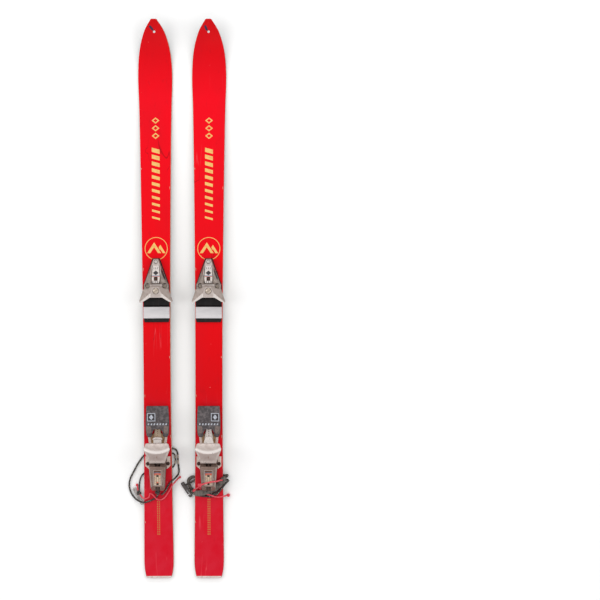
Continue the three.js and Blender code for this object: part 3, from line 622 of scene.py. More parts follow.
# The centre lines of the cords as (x, station, z) in the ski's frame, the same points as in the CAD.
ROUTES = {
    "left_leash_strap": [
        (0, 1131, 24.2), (0, 1139, 23.9), (-1, 1147, 20.6), (-6, 1155, 17.2), (-17, 1161, 16.4),
        (-28, 1165, 16.4), (-36, 1166, 15.6), (-43, 1165, 11.5), (-51, 1161.5, 8), (-58, 1156, 3.6),
        (-66, 1145, 2.5), (-71, 1128, 2.5), (-69, 1111, 2.5), (-60, 1092, 2.5), (-47, 1069, 2.5),
        (-33, 1052, 2.5), (-12, 1042, 2.5), (12, 1038, 2.5), (32, 1036, 2.5), (43, 1040, 2.5),
        (47, 1050, 2.5), (47.5, 1065, 2.5), (49, 1082, 2.5), (50, 1092, 2.6), (48, 1099, 4.6),
        (44.5, 1104, 9.8), (40.5, 1108.5, 15.6), (34, 1114, 19.2), (26, 1123, 18.6), (20, 1134, 17.8),
        (14, 1143, 17.2), (7, 1148, 17),
    ],
    "left_leash_lanyard": [
        (24, 1058, 2), (30, 1052, 2), (35.5, 1048.5, 2), (40, 1053, 2), (41.5, 1063, 2), (40, 1074, 2),
        (34, 1083, 2), (20, 1088, 2), (0, 1090, 2), (-20, 1092, 2), (-34, 1096, 2), (-41, 1103, 2),
        (-45, 1113, 2), (-46.5, 1123, 2), (-47, 1132, 2), (-47.6, 1139, 2),
    ],
    "left_pull_cord": [
        (-51, 1126, 2.2), (-50.5, 1133, 6), (-47.5, 1141, 7), (-43.5, 1149, 8.5), (-38, 1155, 14.8),
        (-30, 1157, 16.6), (-22, 1152, 16.4), (-20, 1145, 16.6), (-14, 1147, 17.6), (-9, 1152, 22.6),
        (-3, 1158, 21), (6, 1160, 16.8), (15, 1155, 16.4), (22, 1146, 16.8), (29, 1134, 17.4),
        (35, 1124, 18), (40, 1118, 15.6), (43.5, 1114, 9.6), (46.5, 1111, 4), (52, 1107, 2.3),
    ],
    "right_leash_strap": [
        (0, 1131, 24.2), (1, 1139.5, 23.6), (5, 1145.5, 20.6), (12, 1145, 18.4), (19.5, 1137, 18.1),
        (27, 1125, 18.7), (34, 1114, 19.8), (40.5, 1106, 17.2), (45, 1102, 10.8), (43.5, 1101, 5),
        (36, 1101.5, 3), (20, 1102, 2.9), (0, 1103, 2.9), (-20, 1104, 2.9), (-35, 1105, 2.9),
        (-44, 1107, 2.9), (-49.5, 1113, 2.9), (-50, 1121, 2.9), (-47, 1129, 3), (-44, 1136, 5.4),
        (-41.5, 1141, 11.2), (-37.5, 1145, 16.6), (-30, 1148, 17.9), (-17, 1150.5, 17.4), (-4, 1151.5, 17.3),
        (9, 1151.5, 17.3), (19, 1146, 17.6), (28, 1136, 18.2), (35.5, 1126, 19.2), (42, 1118.5, 17.2),
        (46.5, 1114.5, 10.8), (45, 1113, 5), (37, 1111.5, 3), (20, 1110.5, 2.9), (0, 1110.5, 2.9),
        (-20, 1111.5, 2.9), (-34, 1113, 2.9), (-40, 1116, 4.4), (-45.5, 1119.5, 8.4), (-52, 1122.5, 9),
        (-59, 1125, 8.4),
    ],
    "right_pull_cord": [
        (34, 1112, 24), (28.5, 1112, 26.5), (24.6, 1112.3, 35), (23, 1112.6, 46), (18.5, 1113, 52.2),
        (8, 1114, 52.6), (-3, 1116.5, 52.2), (-12, 1119.5, 51.6), (-18.6, 1122, 48.6), (-21.6, 1124, 40),
        (-22.6, 1126, 29), (-25, 1129, 21.6), (-30, 1133, 18.2), (-35.5, 1137.5, 18.4),
    ],
    "right_tail_cord": [
        (-21, 1131, 17.8), (-16.5, 1139, 18.6), (-9, 1144, 23), (0, 1147, 26.4), (8, 1149.5, 24.4),
        (16, 1152.5, 20), (24, 1153.5, 17), (31, 1152.5, 16.6), (37.5, 1151.5, 14.6), (41, 1150.5, 9.6),
        (44, 1150, 5.4),
    ],
}
# Diameter and length in mm, the finish, and the pieces that each cord carries.
CORDS = {
    "left_leash_strap": (4.0, 416, "black_cord", ("leash_knot", "ferrule_0", "ferrule_1")),
    "left_leash_lanyard": (3.2, 171, "black_cord", ("gather_knot", "inner_ferrule_0", "inner_ferrule_1")),
    "left_pull_cord": (3.4, 174, "red_cord", ("red_bead", "red_end")),
    "right_leash_strap": (5.0, 445, "black_cord", ("leash_knot", "wrap_knot", "leash_band", "loop_band")),
    "right_pull_cord": (3.6, 117, "red_cord", ("red_knot", "pull_knot")),
    "right_tail_cord": (3.6, 82, "red_cord", ("ball", "tail_knot")),
}
# Place, size, thickness, turn about the upright and finish of each knot.
KNOTS = {
    "left_leash_knot": ((-1, 1142, 22.5), 14.0, 4.2, 0.4, "black_cord"),
    "left_gather_knot": ((-47.5, 1143.5, 8.5), 13.0, 3.8, 1.2, "black_cord"),
    "left_red_end": ((52.2, 1106.4, 3.0), 6.0, 2.6, 0.6, "red_cord"),
    "right_leash_knot": ((1, 1143.5, 21.5), 15.0, 4.6, 0.9, "black_cord"),
    "right_wrap_knot": ((-44, 1136.5, 6.6), 15.0, 4.6, 2.0, "black_cord"),
    "right_red_knot": ((-20.6, 1122.4, 46.2), 11.0, 3.4, 0.2, "red_cord"),
    "right_pull_knot": ((-35.5, 1137.5, 18.9), 9.0, 3.2, 1.0, "red_cord"),
    "right_tail_knot": ((-21, 1131, 18.6), 8.6, 3.2, 2.2, "red_cord"),
}
BEADS = {"left_red_bead": ((-52.2, 1124.5, 3.4), 6.4), "right_ball": ((46.6, 1149.7, 4.6), 8.6)}
# Start, end and radius of each crimped metal sleeve.
FERRULES = {
    "left_ferrule_0": ((46.8, 1052, 2.5), (47.1, 1060.5, 2.5), 2.7),
    "left_ferrule_1": ((47.4, 1065, 2.5), (47.7, 1073.5, 2.5), 2.7),
    "left_inner_ferrule_0": ((40.2, 1053, 2.1), (40.1, 1061, 2.1), 2.35),
    "left_inner_ferrule_1": ((41.2, 1066, 2.1), (41.1, 1074, 2.1), 2.35),
}
# Route, width and thickness of each flat braided band.
BANDS = {
    "right_leash_band": (
        [
            (40, 1105, 21.5), (33, 1114, 23), (25, 1123, 24), (16, 1130.5, 26), (5, 1136, 29),
            (-7, 1139.5, 28.5), (-18, 1142.5, 24.5), (-28, 1144, 21.5), (-36, 1143, 20),
        ],
        14.0,
        5.2,
    ),
    "right_loop_band": (ROUTES["right_leash_strap"][14:20], 8.0, 5.6),
}
CORD_STEP = 1.0
CORD_SIDES = 14


def on_ski(x, station, z):
    return Vector((x, LENGTH / 2 - station, z))


def bend(points, i, t):
    """A point on the centripetal Catmull-Rom curve through points, t of the way from point i to the next."""
    p1, p2 = points[i], points[i + 1]
    p0 = points[i - 1] if i > 0 else p1 * 2 - p2
    p3 = points[i + 2] if i + 2 < len(points) else p2 * 2 - p1
    d0, d1, d2 = (max(math.sqrt((b - a).length), 1e-4) for a, b in ((p0, p1), (p1, p2), (p2, p3)))
    start = ((p1 - p0) / d0 - (p2 - p0) / (d0 + d1) + (p2 - p1) / d1) * d1
    end = ((p2 - p1) / d1 - (p3 - p1) / (d1 + d2) + (p3 - p2) / d2) * d1
    cubic = (p1 * 2 - p2 * 2 + start + end) * t**3
    return p1 + start * t + (p2 * 3 - p1 * 3 - start * 2 - end) * t**2 + cubic


def centre_line(route):
    points = [on_ski(*place) for place in route]
    line = []
    for i in range(len(points) - 1):
        steps = max(2, round((points[i + 1] - points[i]).length / CORD_STEP))
        line += [bend(points, i, k / steps) for k in range(steps)]
    return line + [points[-1]]


def frames_along(line, looped):
    """A pair of directions across the line at each of its points, turning as little as they can."""
    last = len(line) - 1
    tangents = []
    for i in range(last + 1):
        after = line[(i + 1) % len(line)] if looped else line[min(i + 1, last)]
        before = line[i - 1] if looped else line[max(i - 1, 0)]
        tangents.append((after - before).normalized())
    helper = Vector((0, 0, 1)) if abs(tangents[0].z) < 0.9 else Vector((1, 0, 0))
    across = tangents[0].cross(helper).normalized()
    for tangent in tangents:
        across = (across - tangent * across.dot(tangent)).normalized()
        yield across, tangent.cross(across)


def hose(line, radius, looped, thin):
    """A tube along a line, round or thinner one way, with rounded ends where it isn't a loop."""
    runs = [0.0]
    for a, b in zip(line, line[1:]):
        runs.append(runs[-1] + (b - a).length)
    angles = [math.tau * k / CORD_SIDES for k in range(CORD_SIDES)]
    rings = []
    for point, (across, other), run in zip(line, frames_along(line, looped), runs):
        r = radius
        if not looped:
            nearest = min(run, runs[-1] - run)
            r *= math.sqrt(1 - (1 - min(nearest / radius, 1)) ** 2) * 0.75 + 0.25
        ring = [point + across * (r * math.cos(a)) + other * (r * thin * math.sin(a)) for a in angles]
        rings.append([tuple(p) for p in ring])
    return stack(rings, looped)


def tube_mesh(line, radius, looped=False, thin=1.0):
    """The tube as a mesh with a map: once round it, and its length in diameters."""
    mesh = raw_mesh([hose(line, radius, looped, thin)])
    layer = mesh.uv_layers.new(name="run")
    for polygon in mesh.polygons:
        columns = [mesh.loops[k].vertex_index % CORD_SIDES for k in polygon.loop_indices]
        wraps = 0 in columns and CORD_SIDES - 1 in columns
        for k, column in zip(polygon.loop_indices, columns):
            row = mesh.loops[k].vertex_index // CORD_SIDES
            around = CORD_SIDES if wraps and column == 0 else column
            layer.data[k].uv = (around / CORD_SIDES, row * CORD_STEP / (2 * radius))
    mesh.shade_smooth()
    return mesh


def knot_mesh(place, size, thick, turn):
    """An overhand knot drawn tight, as a closed tube."""
    line = []
    steps = 90
    for k in range(steps):
        a = math.tau * k / steps
        x = (math.sin(a) + 2 * math.sin(2 * a)) / 3
        y = (math.cos(a) - 2 * math.cos(2 * a)) / 3
        flat = Matrix.Rotation(turn, 3, "Z") @ Vector((x, y, -math.sin(3 * a) * 0.42))
        line.append(on_ski(*place) + flat * (size - thick) / 2)
    return tube_mesh(line, thick / 2, looped=True)


def ferrule_mesh(start, end, radius):
    """A sleeve with a waist, round a cord from one place to another."""
    a, b = on_ski(*start), on_ski(*end)
    length = (b - a).length
    steps = [(0, radius - 0.5), (0.4, radius), (length * 0.3, radius), (length * 0.4, radius - 0.35)]
    steps += [(length - d, r) for d, r in reversed(steps)]
    return solid_mesh([turned(a, b - a, steps)])


def trim(name, mesh, slot, finish):
    side = name.split("_")[0]
    piece(name, mesh, ski_frame(side), f"{side}_heel_unit", slot, finish)


def lay_cord(name, diameter, length, finish, carried):
    side = name.split("_")[0]
    line = centre_line(ROUTES[name])
    matrix, body = ski_frame(side), f"{side}_heel_unit"
    mesh = tube_mesh(line, diameter / 2)
    tube = piece(f"{name}_braid", mesh, matrix, body, finish, finish, [name])
    path = [matrix @ (point * MM) for point in line]
    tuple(path[0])


def lay_leashes():
    for name, (place, size, thick, turn, finish) in KNOTS.items():
        trim(name, knot_mesh(place, size, thick, turn), finish, finish)
    for name, (place, diameter) in BEADS.items():
        trim(name, solid_mesh([ball(on_ski(*place), diameter / 2)]), "red_cord", "red_bead")
    for name, row in FERRULES.items():
        trim(name, ferrule_mesh(*row), "hook_metal", "ferrule_metal")
    for name, (route, width, thick) in BANDS.items():
        mesh = tube_mesh(centre_line(route), width / 2, thin=thick / width)
        trim(name, mesh, "black_cord", "grey_webbing")
    for name, row in CORDS.items():
        lay_cord(name, *row)


lay_leashes()


# ---- The ski ----

TIP_RISE = 56.0
SHOVEL_CONTACT = 145.0
CAMBER = 13.0
BOW_MIDDLE, BOW_REACH = 727.5, 562.5
TAIL_CONTACT = 1312.0
TAIL_KICK = 2.5
END_THICKNESS, WAIST_THICKNESS = 6.2, 13.5
BASE_THICKNESS = 1.6
TIP_HOLE = {"station": 29.0, "radius": 3.0}
CORNER = 2.5
# Stations and the ski's whole width there, from the tip to the tail.
SIDECUT = [
    (0, 15), (4, 19), (11, 29), (25, 46), (40, 58), (61, 70), (90, 79.2), (137, 83.6), (208, 79.3),
    (317, 75.3), (534, 69.9), (750, 66.6), (970, 66.6), (1184, 69.6), (1305, 71.9), (1324, 70.4),
    (1340, 65.5), (1350, 60),
]


def half_width(station):
    """Half the ski's width, on a smooth curve through the table."""
    last = len(SIDECUT) - 1
    i = 0
    while i < last - 1 and SIDECUT[i + 1][0] < station:
        i += 1

    def slope(k):
        a, b = SIDECUT[max(k - 1, 0)], SIDECUT[min(k + 1, last)]
        return (b[1] - a[1]) / (b[0] - a[0])

    (x0, y0), (x1, y1) = SIDECUT[i], SIDECUT[i + 1]
    h = x1 - x0
    t = (station - x0) / h
    rise = slope(i) * h * t * (1 - t) ** 2 + slope(i + 1) * h * t * t * (t - 1)
    return (y0 * (1 + 2 * t) * (1 - t) ** 2 + y1 * t * t * (3 - 2 * t) + rise) / 2


def bow(station):
    return max(0.0, 1 - ((station - BOW_MIDDLE) / BOW_REACH) ** 2)


def underside(station):
    if station < SHOVEL_CONTACT:
        return TIP_RISE * (1 - station / SHOVEL_CONTACT) ** 2.2
    if station > TAIL_CONTACT:
        return TAIL_KICK * ((station - TAIL_CONTACT) / (LENGTH - TAIL_CONTACT)) ** 2
    return CAMBER * bow(station) ** 1.2


def base_top(station):
    return underside(station) + BASE_THICKNESS


def topside(station):
    return underside(station) + END_THICKNESS + (WAIST_THICKNESS - END_THICKNESS) * bow(station)


def stations(start, end):
    """Stations from start to end, close together where the outline turns quickly."""
    marks = [start]
    while marks[-1] < end:
        near_end = min(marks[-1], LENGTH - marks[-1])
        marks.append(marks[-1] + (0.5 if near_end < 4 else 2.0 if near_end < 60 else 6.0))
    marks[-1] = end
    return marks


def rounded_half(station, inset_by, corner=CORNER):
    """The half width less an inset, with the outline's corners rounded at the tip and the tail."""
    half = half_width(min(max(station, 0), LENGTH)) - inset_by
    near = min(station - inset_by, LENGTH - inset_by - station)
    if near < corner:
        half -= corner - math.sqrt(max(0.0, corner**2 - (corner - max(near, 0.0)) ** 2))
    return max(half, 0.6)


def ski_loft(inset_by, corner, section, lean=0.0):
    """A solid down the ski. section gives (distance in from the edge, height) points of one side.

    lean sets the right edge, or the left if it is negative, further in.
    """
    rings = []
    for s in stations(inset_by, LENGTH - inset_by):
        half = rounded_half(s, inset_by, corner)
        right = [(max(half - d - max(lean, 0), 0.05), z) for d, z in section(s)]
        left = [(min(d - half - min(lean, 0), -0.05), z) for d, z in section(s)]
        rings.append([on_ski(x, s, z) for x, z in right + left[::-1]])
    return stack(rings)


def band(outer, inner, low, high, soft):
    """A closed band round the ski, between two insets of its outline."""
    marks = stations(0.0, LENGTH)
    rings = []
    for hand, run in ((1, marks), (-1, marks[::-1])):
        for s in run:
            s_out, s_in = (min(max(s, by), LENGTH - by) for by in (outer, inner))
            x_out = rounded_half(s_out, outer) * hand
            x_in = max(half_width(s_in) - inner, 1.0) * hand
            edge = [(x_out, low(s_out)), (x_out, high(s_out) - soft), (x_out - hand * soft, high(s_out))]
            ring = [on_ski(x, s_out, z) for x, z in edge]
            rings.append(ring + [on_ski(x_in, s_in, z) for z in (high(s_in), low(s_in))])
    return stack(rings, closed_loop=True)


def top_section(s):
    """The rolled edge of the top sheet."""
    return [(d, topside(s) - z) for d, z in ((0, 1.0), (0, 0.55), (0.16, 0.22), (0.5, 0.04), (1.1, 0))]


def tip_bore():
    return bar(on_ski(0, TIP_HOLE["station"], 20), on_ski(0, TIP_HOLE["station"], 90), TIP_HOLE["radius"])


def tail_cap():
    """The pale strip over the tail's end."""
    rings = []
    for s in (1345.6, 1346.2, 1347.6, 1348.6, 1349.4):
        half = rounded_half(s, 0.35)
        top = topside(s) + (0.06 if s < 1346 else 0.16)
        right = [(half - d, top - z) for d, z in ((0.2, 1.1), (0.2, 0.5), (0.55, 0.12), (1.2, 0))]
        rings.append([on_ski(x, s, z) for x, z in mirrored(right)])
    return stack(rings)


# The zones, in stations, of the generic shapes that stand for the ski's number, name, badge and small print.
NUMBER_ZONE = (232.0, 288.0)
NAME_ZONE = (307.0, 492.0)
BADGE = {"station": 552.0, "radius": 27.7, "line": 1.5}
TAIL_ZONE = (1158.0, 1247.0)
PRINT_RISE = 0.1
# Start, end and radius of the dark bar beside each tip hole.
TIP_BARS = {"left": ((-9.4, 17.6), (-3.8, 24.0), 2.6), "right": ((-7.4, 17.2), (-4.6, 24.4), 2.6)}
# The side, 1 for the right, and station of each pale dent along the edges.
DENTS = [(-1, 356), (1, 402), (-1, 598), (1, 812), (-1, 905), (1, 1003), (-1, 1212)]


def sheet(x, y):
    return topside(LENGTH / 2 - y)


def draped(outlines, up=PRINT_RISE):
    """Thin prints on the top sheet, from outlines of (x, station)."""
    return [film([(x, LENGTH / 2 - s) for x, s in outline], sheet, up, 0.2) for outline in outlines]


def badge_ring():
    middle = LENGTH / 2 - BADGE["station"]
    angles = [math.tau * k / 72 for k in range(72)]
    radii = BADGE["radius"], BADGE["radius"] - BADGE["line"]
    outer, inner = ([(r * math.cos(a), middle + r * math.sin(a)) for a in angles] for r in radii)
    return rim(outer, inner, sheet, PRINT_RISE, 0.2)


def diamonds():
    """Three open diamonds where the number is."""
    start, end = NUMBER_ZONE
    for k in range(3):
        s = start + (end - start) / 3 * (k + 0.5)
        for hand in (-1, 1):
            yield [(0, s - 7.6), (9.3 * hand, s), (0, s + 7.6), (0, s + 4.2), (5.2 * hand, s), (0, s - 4.2)]


def speed_stripes():
    """A row of slanted stripes where the name is, each a little narrower than the one before."""
    start, end = NAME_ZONE
    for k in range(11):
        s = start + k * (end - start - 12) / 10.4
        wide = 10.4 - 0.55 * k
        yield [(-9.5, s), (9.5, s + 5.2), (9.5, s + 5.2 + wide), (-9.5, s + wide)]


def peaks():
    """Two mountain peaks."""
    s = BADGE["station"]
    yield [(-22, s + 11), (-5, s - 15), (12, s + 11), (4.4, s + 11), (-5, s - 3.4), (-14.4, s + 11)]
    yield [(6.2, s - 3), (10, s - 9), (22.5, s + 11), (16, s + 11), (9.6, s + 1.4), (8.2, s + 3.4)]


def tail_dashes():
    """Two broken lines of short dashes along the tail."""
    start, end = TAIL_ZONE
    pitch = 5.6
    for k in range(math.ceil((end - start) / pitch)):
        for x in (-3.4, 0.9):
            yield quad(x, x + 2.5, start + pitch * k, start + pitch * k + 3.4)


def capsule(start, end, radius):
    """The outline of a bar with round ends."""
    turn = math.atan2(end[1] - start[1], end[0] - start[0])
    outline = []
    for (x, s), first in ((end, -0.5), (start, 0.5)):
        angles = [turn + math.pi * (first + k / 8) for k in range(9)]
        outline += [(x + radius * math.cos(a), s + radius * math.sin(a)) for a in angles]
    return outline


def rub_marks():
    for k, (hand, s) in enumerate(DENTS):
        x = hand * (half_width(s) - 2.6)
        yield [(x - 0.5, s), (x + 0.5, s + 0.6), (x + 0.4, s + 5 + 2 * (k % 3)), (x - 0.4, s + 4)]


def dress_skis():
    base = ski_loft(2.5, 2.0, lambda s: [(0, underside(s)), (0, base_top(s))])
    wall = band(0.35, 3.2, lambda s: base_top(s) + 0.1, lambda s: topside(s) - 1.0, 0.45)
    gold = draped([*diamonds(), *speed_stripes(), *peaks()]) + [badge_ring()]
    shared = [
        ("running_base_skin", solid_mesh([base], [tip_bore()]), "ski", "base_plastic"),
        ("steel_edge_skin", solid_mesh([band(0.0, 2.2, underside, base_top, 0.25)]), "ski", "edge_steel"),
        ("sidewall_skin", solid_mesh([wall]), "ski", "sidewall"),
        ("tail_cap", solid_mesh([tail_cap()]), "ski", "sidewall", "tail_cap"),
        ("gold_print", solid_mesh(gold), "ski", "red_top", "gold_print"),
        ("tail_print", solid_mesh(draped(tail_dashes())), "ski", "red_top", "worn_gold_print"),
        ("rub_marks", solid_mesh(draped(rub_marks(), 0.07)), "ski", "sidewall"),
    ]
    for side, lean in (("left", 0.5), ("right", -0.5)):
        # The top sheet is set in a little further along the pair's inner edge, where the sidewall shows.
        top = solid_mesh([ski_loft(0.3, CORNER, top_section, lean)], [tip_bore()], 50)
        mark = solid_mesh(draped([capsule(*TIP_BARS[side])]))
        own = [
            ("tip_mark", mark, "ski", "red_top", "tip_mark"),
            ("top_sheet_skin", top, "ski", "red_top", f"red_{side}"),
        ]
        dress(side, ski_frame(side), shared + own)


dress_skis()


# ---- The toe binding ----

TOE_AXIS = 9.0
PLATE_TOP = 3.6
TOE_WINDOW = quad(-4, 4, 25, 34)
BOSS = (20.5, 13)


def between(table, at):
    """A straight-line reading of a table of (place, value), in rising order."""
    for (a, x), (b, y) in zip(table, table[1:]):
        if at <= b:
            return x + (y - x) * max(0.0, at - a) / (b - a)
    return table[-1][1]


def toe_deck(x, v):
    return between([(16.6, 22), (19, 27.5), (58, 21.5), (75, 19), (78, 17)], v)


def toe_cone():
    """The housing's tapering front: a raised middle between two sloping flanks."""
    rings = []
    for v in (16.6, 19, 26, 34, 42, 50, 58, 64, 70, 75, 77, 78):
        half = between([(14, 29.6), (76, 7.2), (78, 5.7)], v)
        ridge = between([(14, 15.6), (60, 10.4), (72, 6.4), (78, 4.6)], v)
        foot = between([(14, 12.5), (60, 11), (78, 10)], v)
        deck = toe_deck(0, v)
        flank = [(half, PLATE_TOP), (half, foot), (half - 0.8, foot + 1.4), (ridge + 1.4, deck - 1.2)]
        rings.append([(x, v, w) for x, w in mirrored([*flank, (ridge, deck)])])
    return stack(rings)


def toe_groove():
    """The groove beside the raised middle panel."""
    line = [(7.4, 62), (8.8, 62), (12.6, 18), (11.2, 18)]
    return plate(line, lambda x, v: toe_deck(x, v) - 1.6, 40)


def toe_housing_mesh():
    rear = mirrored([(0, 17.5), (29.6, 17.5), (29.6, 0), (10.6, -1), (9, -6.5), (5, -10.2), (0, -11.4)])
    bosses = both(bar, (*BOSS, PLATE_TOP), (*BOSS, 18.5), 8.4)
    cutters = [
        *both(above, (15.6, 0, 21.6), (15.6, 20, 21.6), (29.6, 0, 12.5)),
        *both(bar, (*BOSS, 8.3), (*BOSS, 40), 6.0),
        *both(toe_groove),
        bar((0, 70.5, 16), (0, 70.5, 40), 4.7),
        bar((0, 6, TOE_AXIS), (0, 71, TOE_AXIS), 5.3),
        bar((0, 70, TOE_AXIS), (0, 83, TOE_AXIS), 4.4),
        bar((0, 0, 3.6), (0, 0, 40), 7.4),
        box((-3, 3), (22, 69), (12, 18.2)),
        plate(TOE_WINDOW, 17, 40),
    ]
    mesh = cast([toe_cone(), plate(rear, PLATE_TOP, 21.5), *bosses], cutters)
    # Painted shade on the flanks and in the recesses, and the pale panel, chosen face by face by toe_tone.
    return paint(mesh, ("cast_metal", "toe_flank", "polished_metal", "groove_shade_metal"), toe_tone)


def toe_tone(place, normal):
    """Pale on the raised panel and the ridges; painted shade, a greyer copy of the metal, on the flanks and
    other steep faces; darker painted shade in the grooves and other recesses.
    """
    # Painted shade on every face that turns away from straight up.
    if normal.z < 0.9:
        return 1
    # Painted shade on the floors sunk below the deck.
    if place.z < toe_deck(0, place.y) - 0.5 and place.y > 17:
        return 3
    return 2 if abs(place.x) < 9.0 and 14 < place.y < 61 else 0


def wing_mesh():
    """The swinging wing: a flat middle, and arms with a crease from the middle to each tip."""
    cutters = both(above, (12, -2, 33), (38, -26, 28.5), (31, 3.8, 26.5))
    cutters += both(above, (13, -6, 33), (38, -26, 28.5), (15, -16, 31))
    cutters.append(above((0, 10.4, 33), (10, 10.4, 33), (0, 12.8, 30.4)))
    mesh = recast("toe_wing", TOE, cutters)
    # Painted highlight and painted shade, chosen face by face by wing_tone.
    return paint(mesh, ("cast_metal", "shade_and_highlight_metal", "polished_metal"), wing_tone)


def wing_tone(place, normal):
    """Painted highlight on the facets that face the boot; painted shade, a greyer copy of the metal, on the
    steep walls and on the facets that face forwards and outwards.
    """
    # Painted shade on the steep walls.
    if normal.z < 0.6:
        return 1
    # Painted highlight on the outer facets that face the boot.
    if normal.y < -0.1 and abs(place.x) > 12:
        return 2
    # Painted shade on the facets that face forwards and outwards.
    return 1 if normal.y > 0.05 or abs(normal.x) > 0.2 else 0


def screw_mesh(radius, low, high):
    """A domed screw head with a cross, at the origin."""
    dome = [(low, radius), (high - 0.8, radius), (high - 0.25, radius * 0.9), (high, radius * 0.55)]
    long, short, deep = (-radius * 0.75, radius * 0.75), (-0.55, 0.55), (high - 1.6, high + 3)
    return solid_mesh([turned((0, 0, 0), (0, 0, 1), dome)], [box(long, short, deep), box(short, long, deep)])


def pivot_screw_mesh():
    """The wing's pivot screw: a plain shaft, a collar and a broad slotted head."""
    steps = [(9.5, 4), (30.8, 4), (30.8, 6.4), (31.1, 6.7), (33.9, 6.7), (34.4, 6.1)]
    turn = Matrix.Rotation(0.35, 3, "Z")
    slot = [tuple((turn @ Vector((x, v, 0))).xy) for x, v in quad(-7, 7, -0.9, 0.9)]
    return solid_mesh([turned((0, 0, 0), (0, 0, 1), steps, 48)], [plate(slot, 32.6, 36)])


def base_plate_mesh():
    cutter = above((-30, -72.5, 5.2), (30, -72.5, 5.2), (0, -75.2, 2.6))
    return recast("toe_base_plate", TOE, [cutter], 0.6, 2, 0.4)


def glide_pad_mesh():
    pad = soft_plate(quad(-31.6, 31.6, -65.5, -38), 4.5, 7.2, 0.5)
    ribs = [plate(quad(-30.6, 30.6, v, v + 0.7), 7.0, 7.34) for v in (-63.6 + 2.0 * k for k in range(13))]
    return solid_mesh([pad, *ribs], angle=30)


def toe_ink():
    """The dark marks on the raised panel: ticks, a plain diamond and a row of scale marks."""
    for x in (-4.4, 0, 4.4):
        yield [(x - 0.6, 52.6), (x + 0.6, 52.6), (x + 0.2, 57.4), (x - 0.8, 57.4)]
    yield [(0, 49.6), (6.8, 43.6), (0, 37.9), (-6.8, 43.6)]
    for k in range(5):
        x = -8.8 + 4.4 * k
        yield quad(x - 1.4, x + 1.4, 18.8, 20.2)
        yield quad(x - 0.7, x + 0.7, 20.0, 23.8)


def toe_film(*outlines):
    return solid_mesh([film(outline, toe_deck, 0.12) for outline in outlines])


def dress_toes():
    blue = [(-8.8, 35.9), (8.8, 35.9), (8.7, 37.5), (-8.7, 37.5)]
    orange = [(-9.0, 34.2), (9.0, 34.2), (8.9, 35.7), (-8.9, 35.7)]
    frame_ring = rim(inset(TOE_WINDOW, -0.9), TOE_WINDOW, toe_deck, 0.3, 0.4)
    rows = [
        ("toe_housing_skin", toe_housing_mesh(), "ski", "cast_metal"),
        ("toe_wing_skin", wing_mesh(), "toe_wing", "cast_metal"),
        ("toe_pivot_screw_skin", pivot_screw_mesh(), "ski", "screw_steel"),
        ("toe_base_plate_skin", base_plate_mesh(), "ski", "black_plastic"),
        ("toe_glide_pad_skin", glide_pad_mesh(), "ski", "glide_plastic"),
        ("toe_ink", toe_film(*toe_ink()), "ski", "black_plastic", "dark_print"),
        ("toe_blue_stripe", toe_film(blue), "ski", "indicator", "blue_print"),
        ("toe_orange_stripe", toe_film(orange), "ski", "indicator", "orange_print"),
        ("toe_window_rim", solid_mesh([frame_ring]), "ski", "cast_metal", "worn_cast_metal"),
    ]
    front, rear = screw_mesh(3.9, 15.8, 18.3), screw_mesh(4.0, 5.0, 11.0)
    screws = [
        ("front", 0, 70.5, front, "polished_metal"),
        ("near", -20.5, 11.6, rear, "screw_steel"),
        ("far", 20.5, 11.6, rear, "screw_steel"),
    ]
    for side in SIDES:
        matrix = binding_frame(side, TOE)
        dress(side, matrix, rows)
        for name, x, v, mesh, finish in screws:
            seat = matrix @ Matrix.Translation((x * MM, v * MM, 0)) @ Matrix.Rotation(0.5 + x * 0.03, 4, "Z")
            dress(side, seat, [(f"toe_{name}_screw", mesh, "ski", "screw_steel", finish)])


dress_toes()


# ---- The heel binding ----

AXLE = (8.0, 20.0)  # v and w of the jaw's axle
AXLE_HOLE = 3.12
PAD_TOP = 13.0
JAW_CREST = 56.0
JAW_FRONT = 49.5
WINDOW = {"front": -17.5, "back": -53.0, "half": 8.6, "floor": 30.0}


def jaw_half(v):
    return between([(0, 18.4), (3, 19.4), (33, 30.8), (36, 30.9), (46.5, 28.2), (48.5, 26.8), (49.5, 25)], v)


def crest_line(x):
    return 25.5 + 8.5 * (x / 31) ** 2


def jaw_top(x, v):
    """The jaw's upper surface: a bowed crest, a scooped slope in front and a framed face behind."""
    crest_v = crest_line(x)
    crest = JAW_CREST - 3.6 * (x / 31) ** 2
    if v >= crest_v:
        t = (v - crest_v) / (50 - crest_v)
        return crest - (crest - 46.5) * t**1.35
    height = between([(0, 36.8), (1.6, 38.2), (5.5, 40.7), (crest_v, crest)], v)
    frame_in = min(jaw_half(v) - 2.8 - abs(x), v - 5.2, crest_v - 1.6 - v)
    lip = 1.0 - min(1.0, abs(v - 3.0) / 2.4)
    return height - 1.5 * min(1.0, max(0.0, frame_in)) + 0.5 * lip


def jaw_bottom(x, v):
    return between([(0, 33.5), (1, 31.2), (5, 31.4), (16, 30), (25, 27.5), (36, 27.5), (37.6, 41)], v)


def jaw_shell():
    rings = []
    for k in range(51):
        v = JAW_FRONT * k / 50
        row = [(jaw_half(v) * (i / 15 - 1), v) for i in range(31)]
        rings.append(raised(row, jaw_top) + raised(row[::-1], jaw_bottom))
    return stack(rings)


def jaw_mesh():
    web = [(8, 28.4), (8, 32), (20, 32), (28, 30), (28, 13), (14, 13)]
    solids = [
        jaw_shell(),
        plate([(-24, 25), (24, 25), (22.6, 37), (-22.6, 37)], 12, 42),
        bar((-12.5, *AXLE), (12.5, *AXLE), 9.2, 40),
        stack([[(x, v, w) for v, w in web] for x in (-12.5, 12.5)]),
    ]
    return cast(solids, [bar((-30, *AXLE), (30, *AXLE), AXLE_HOLE, 24)], 0.55)


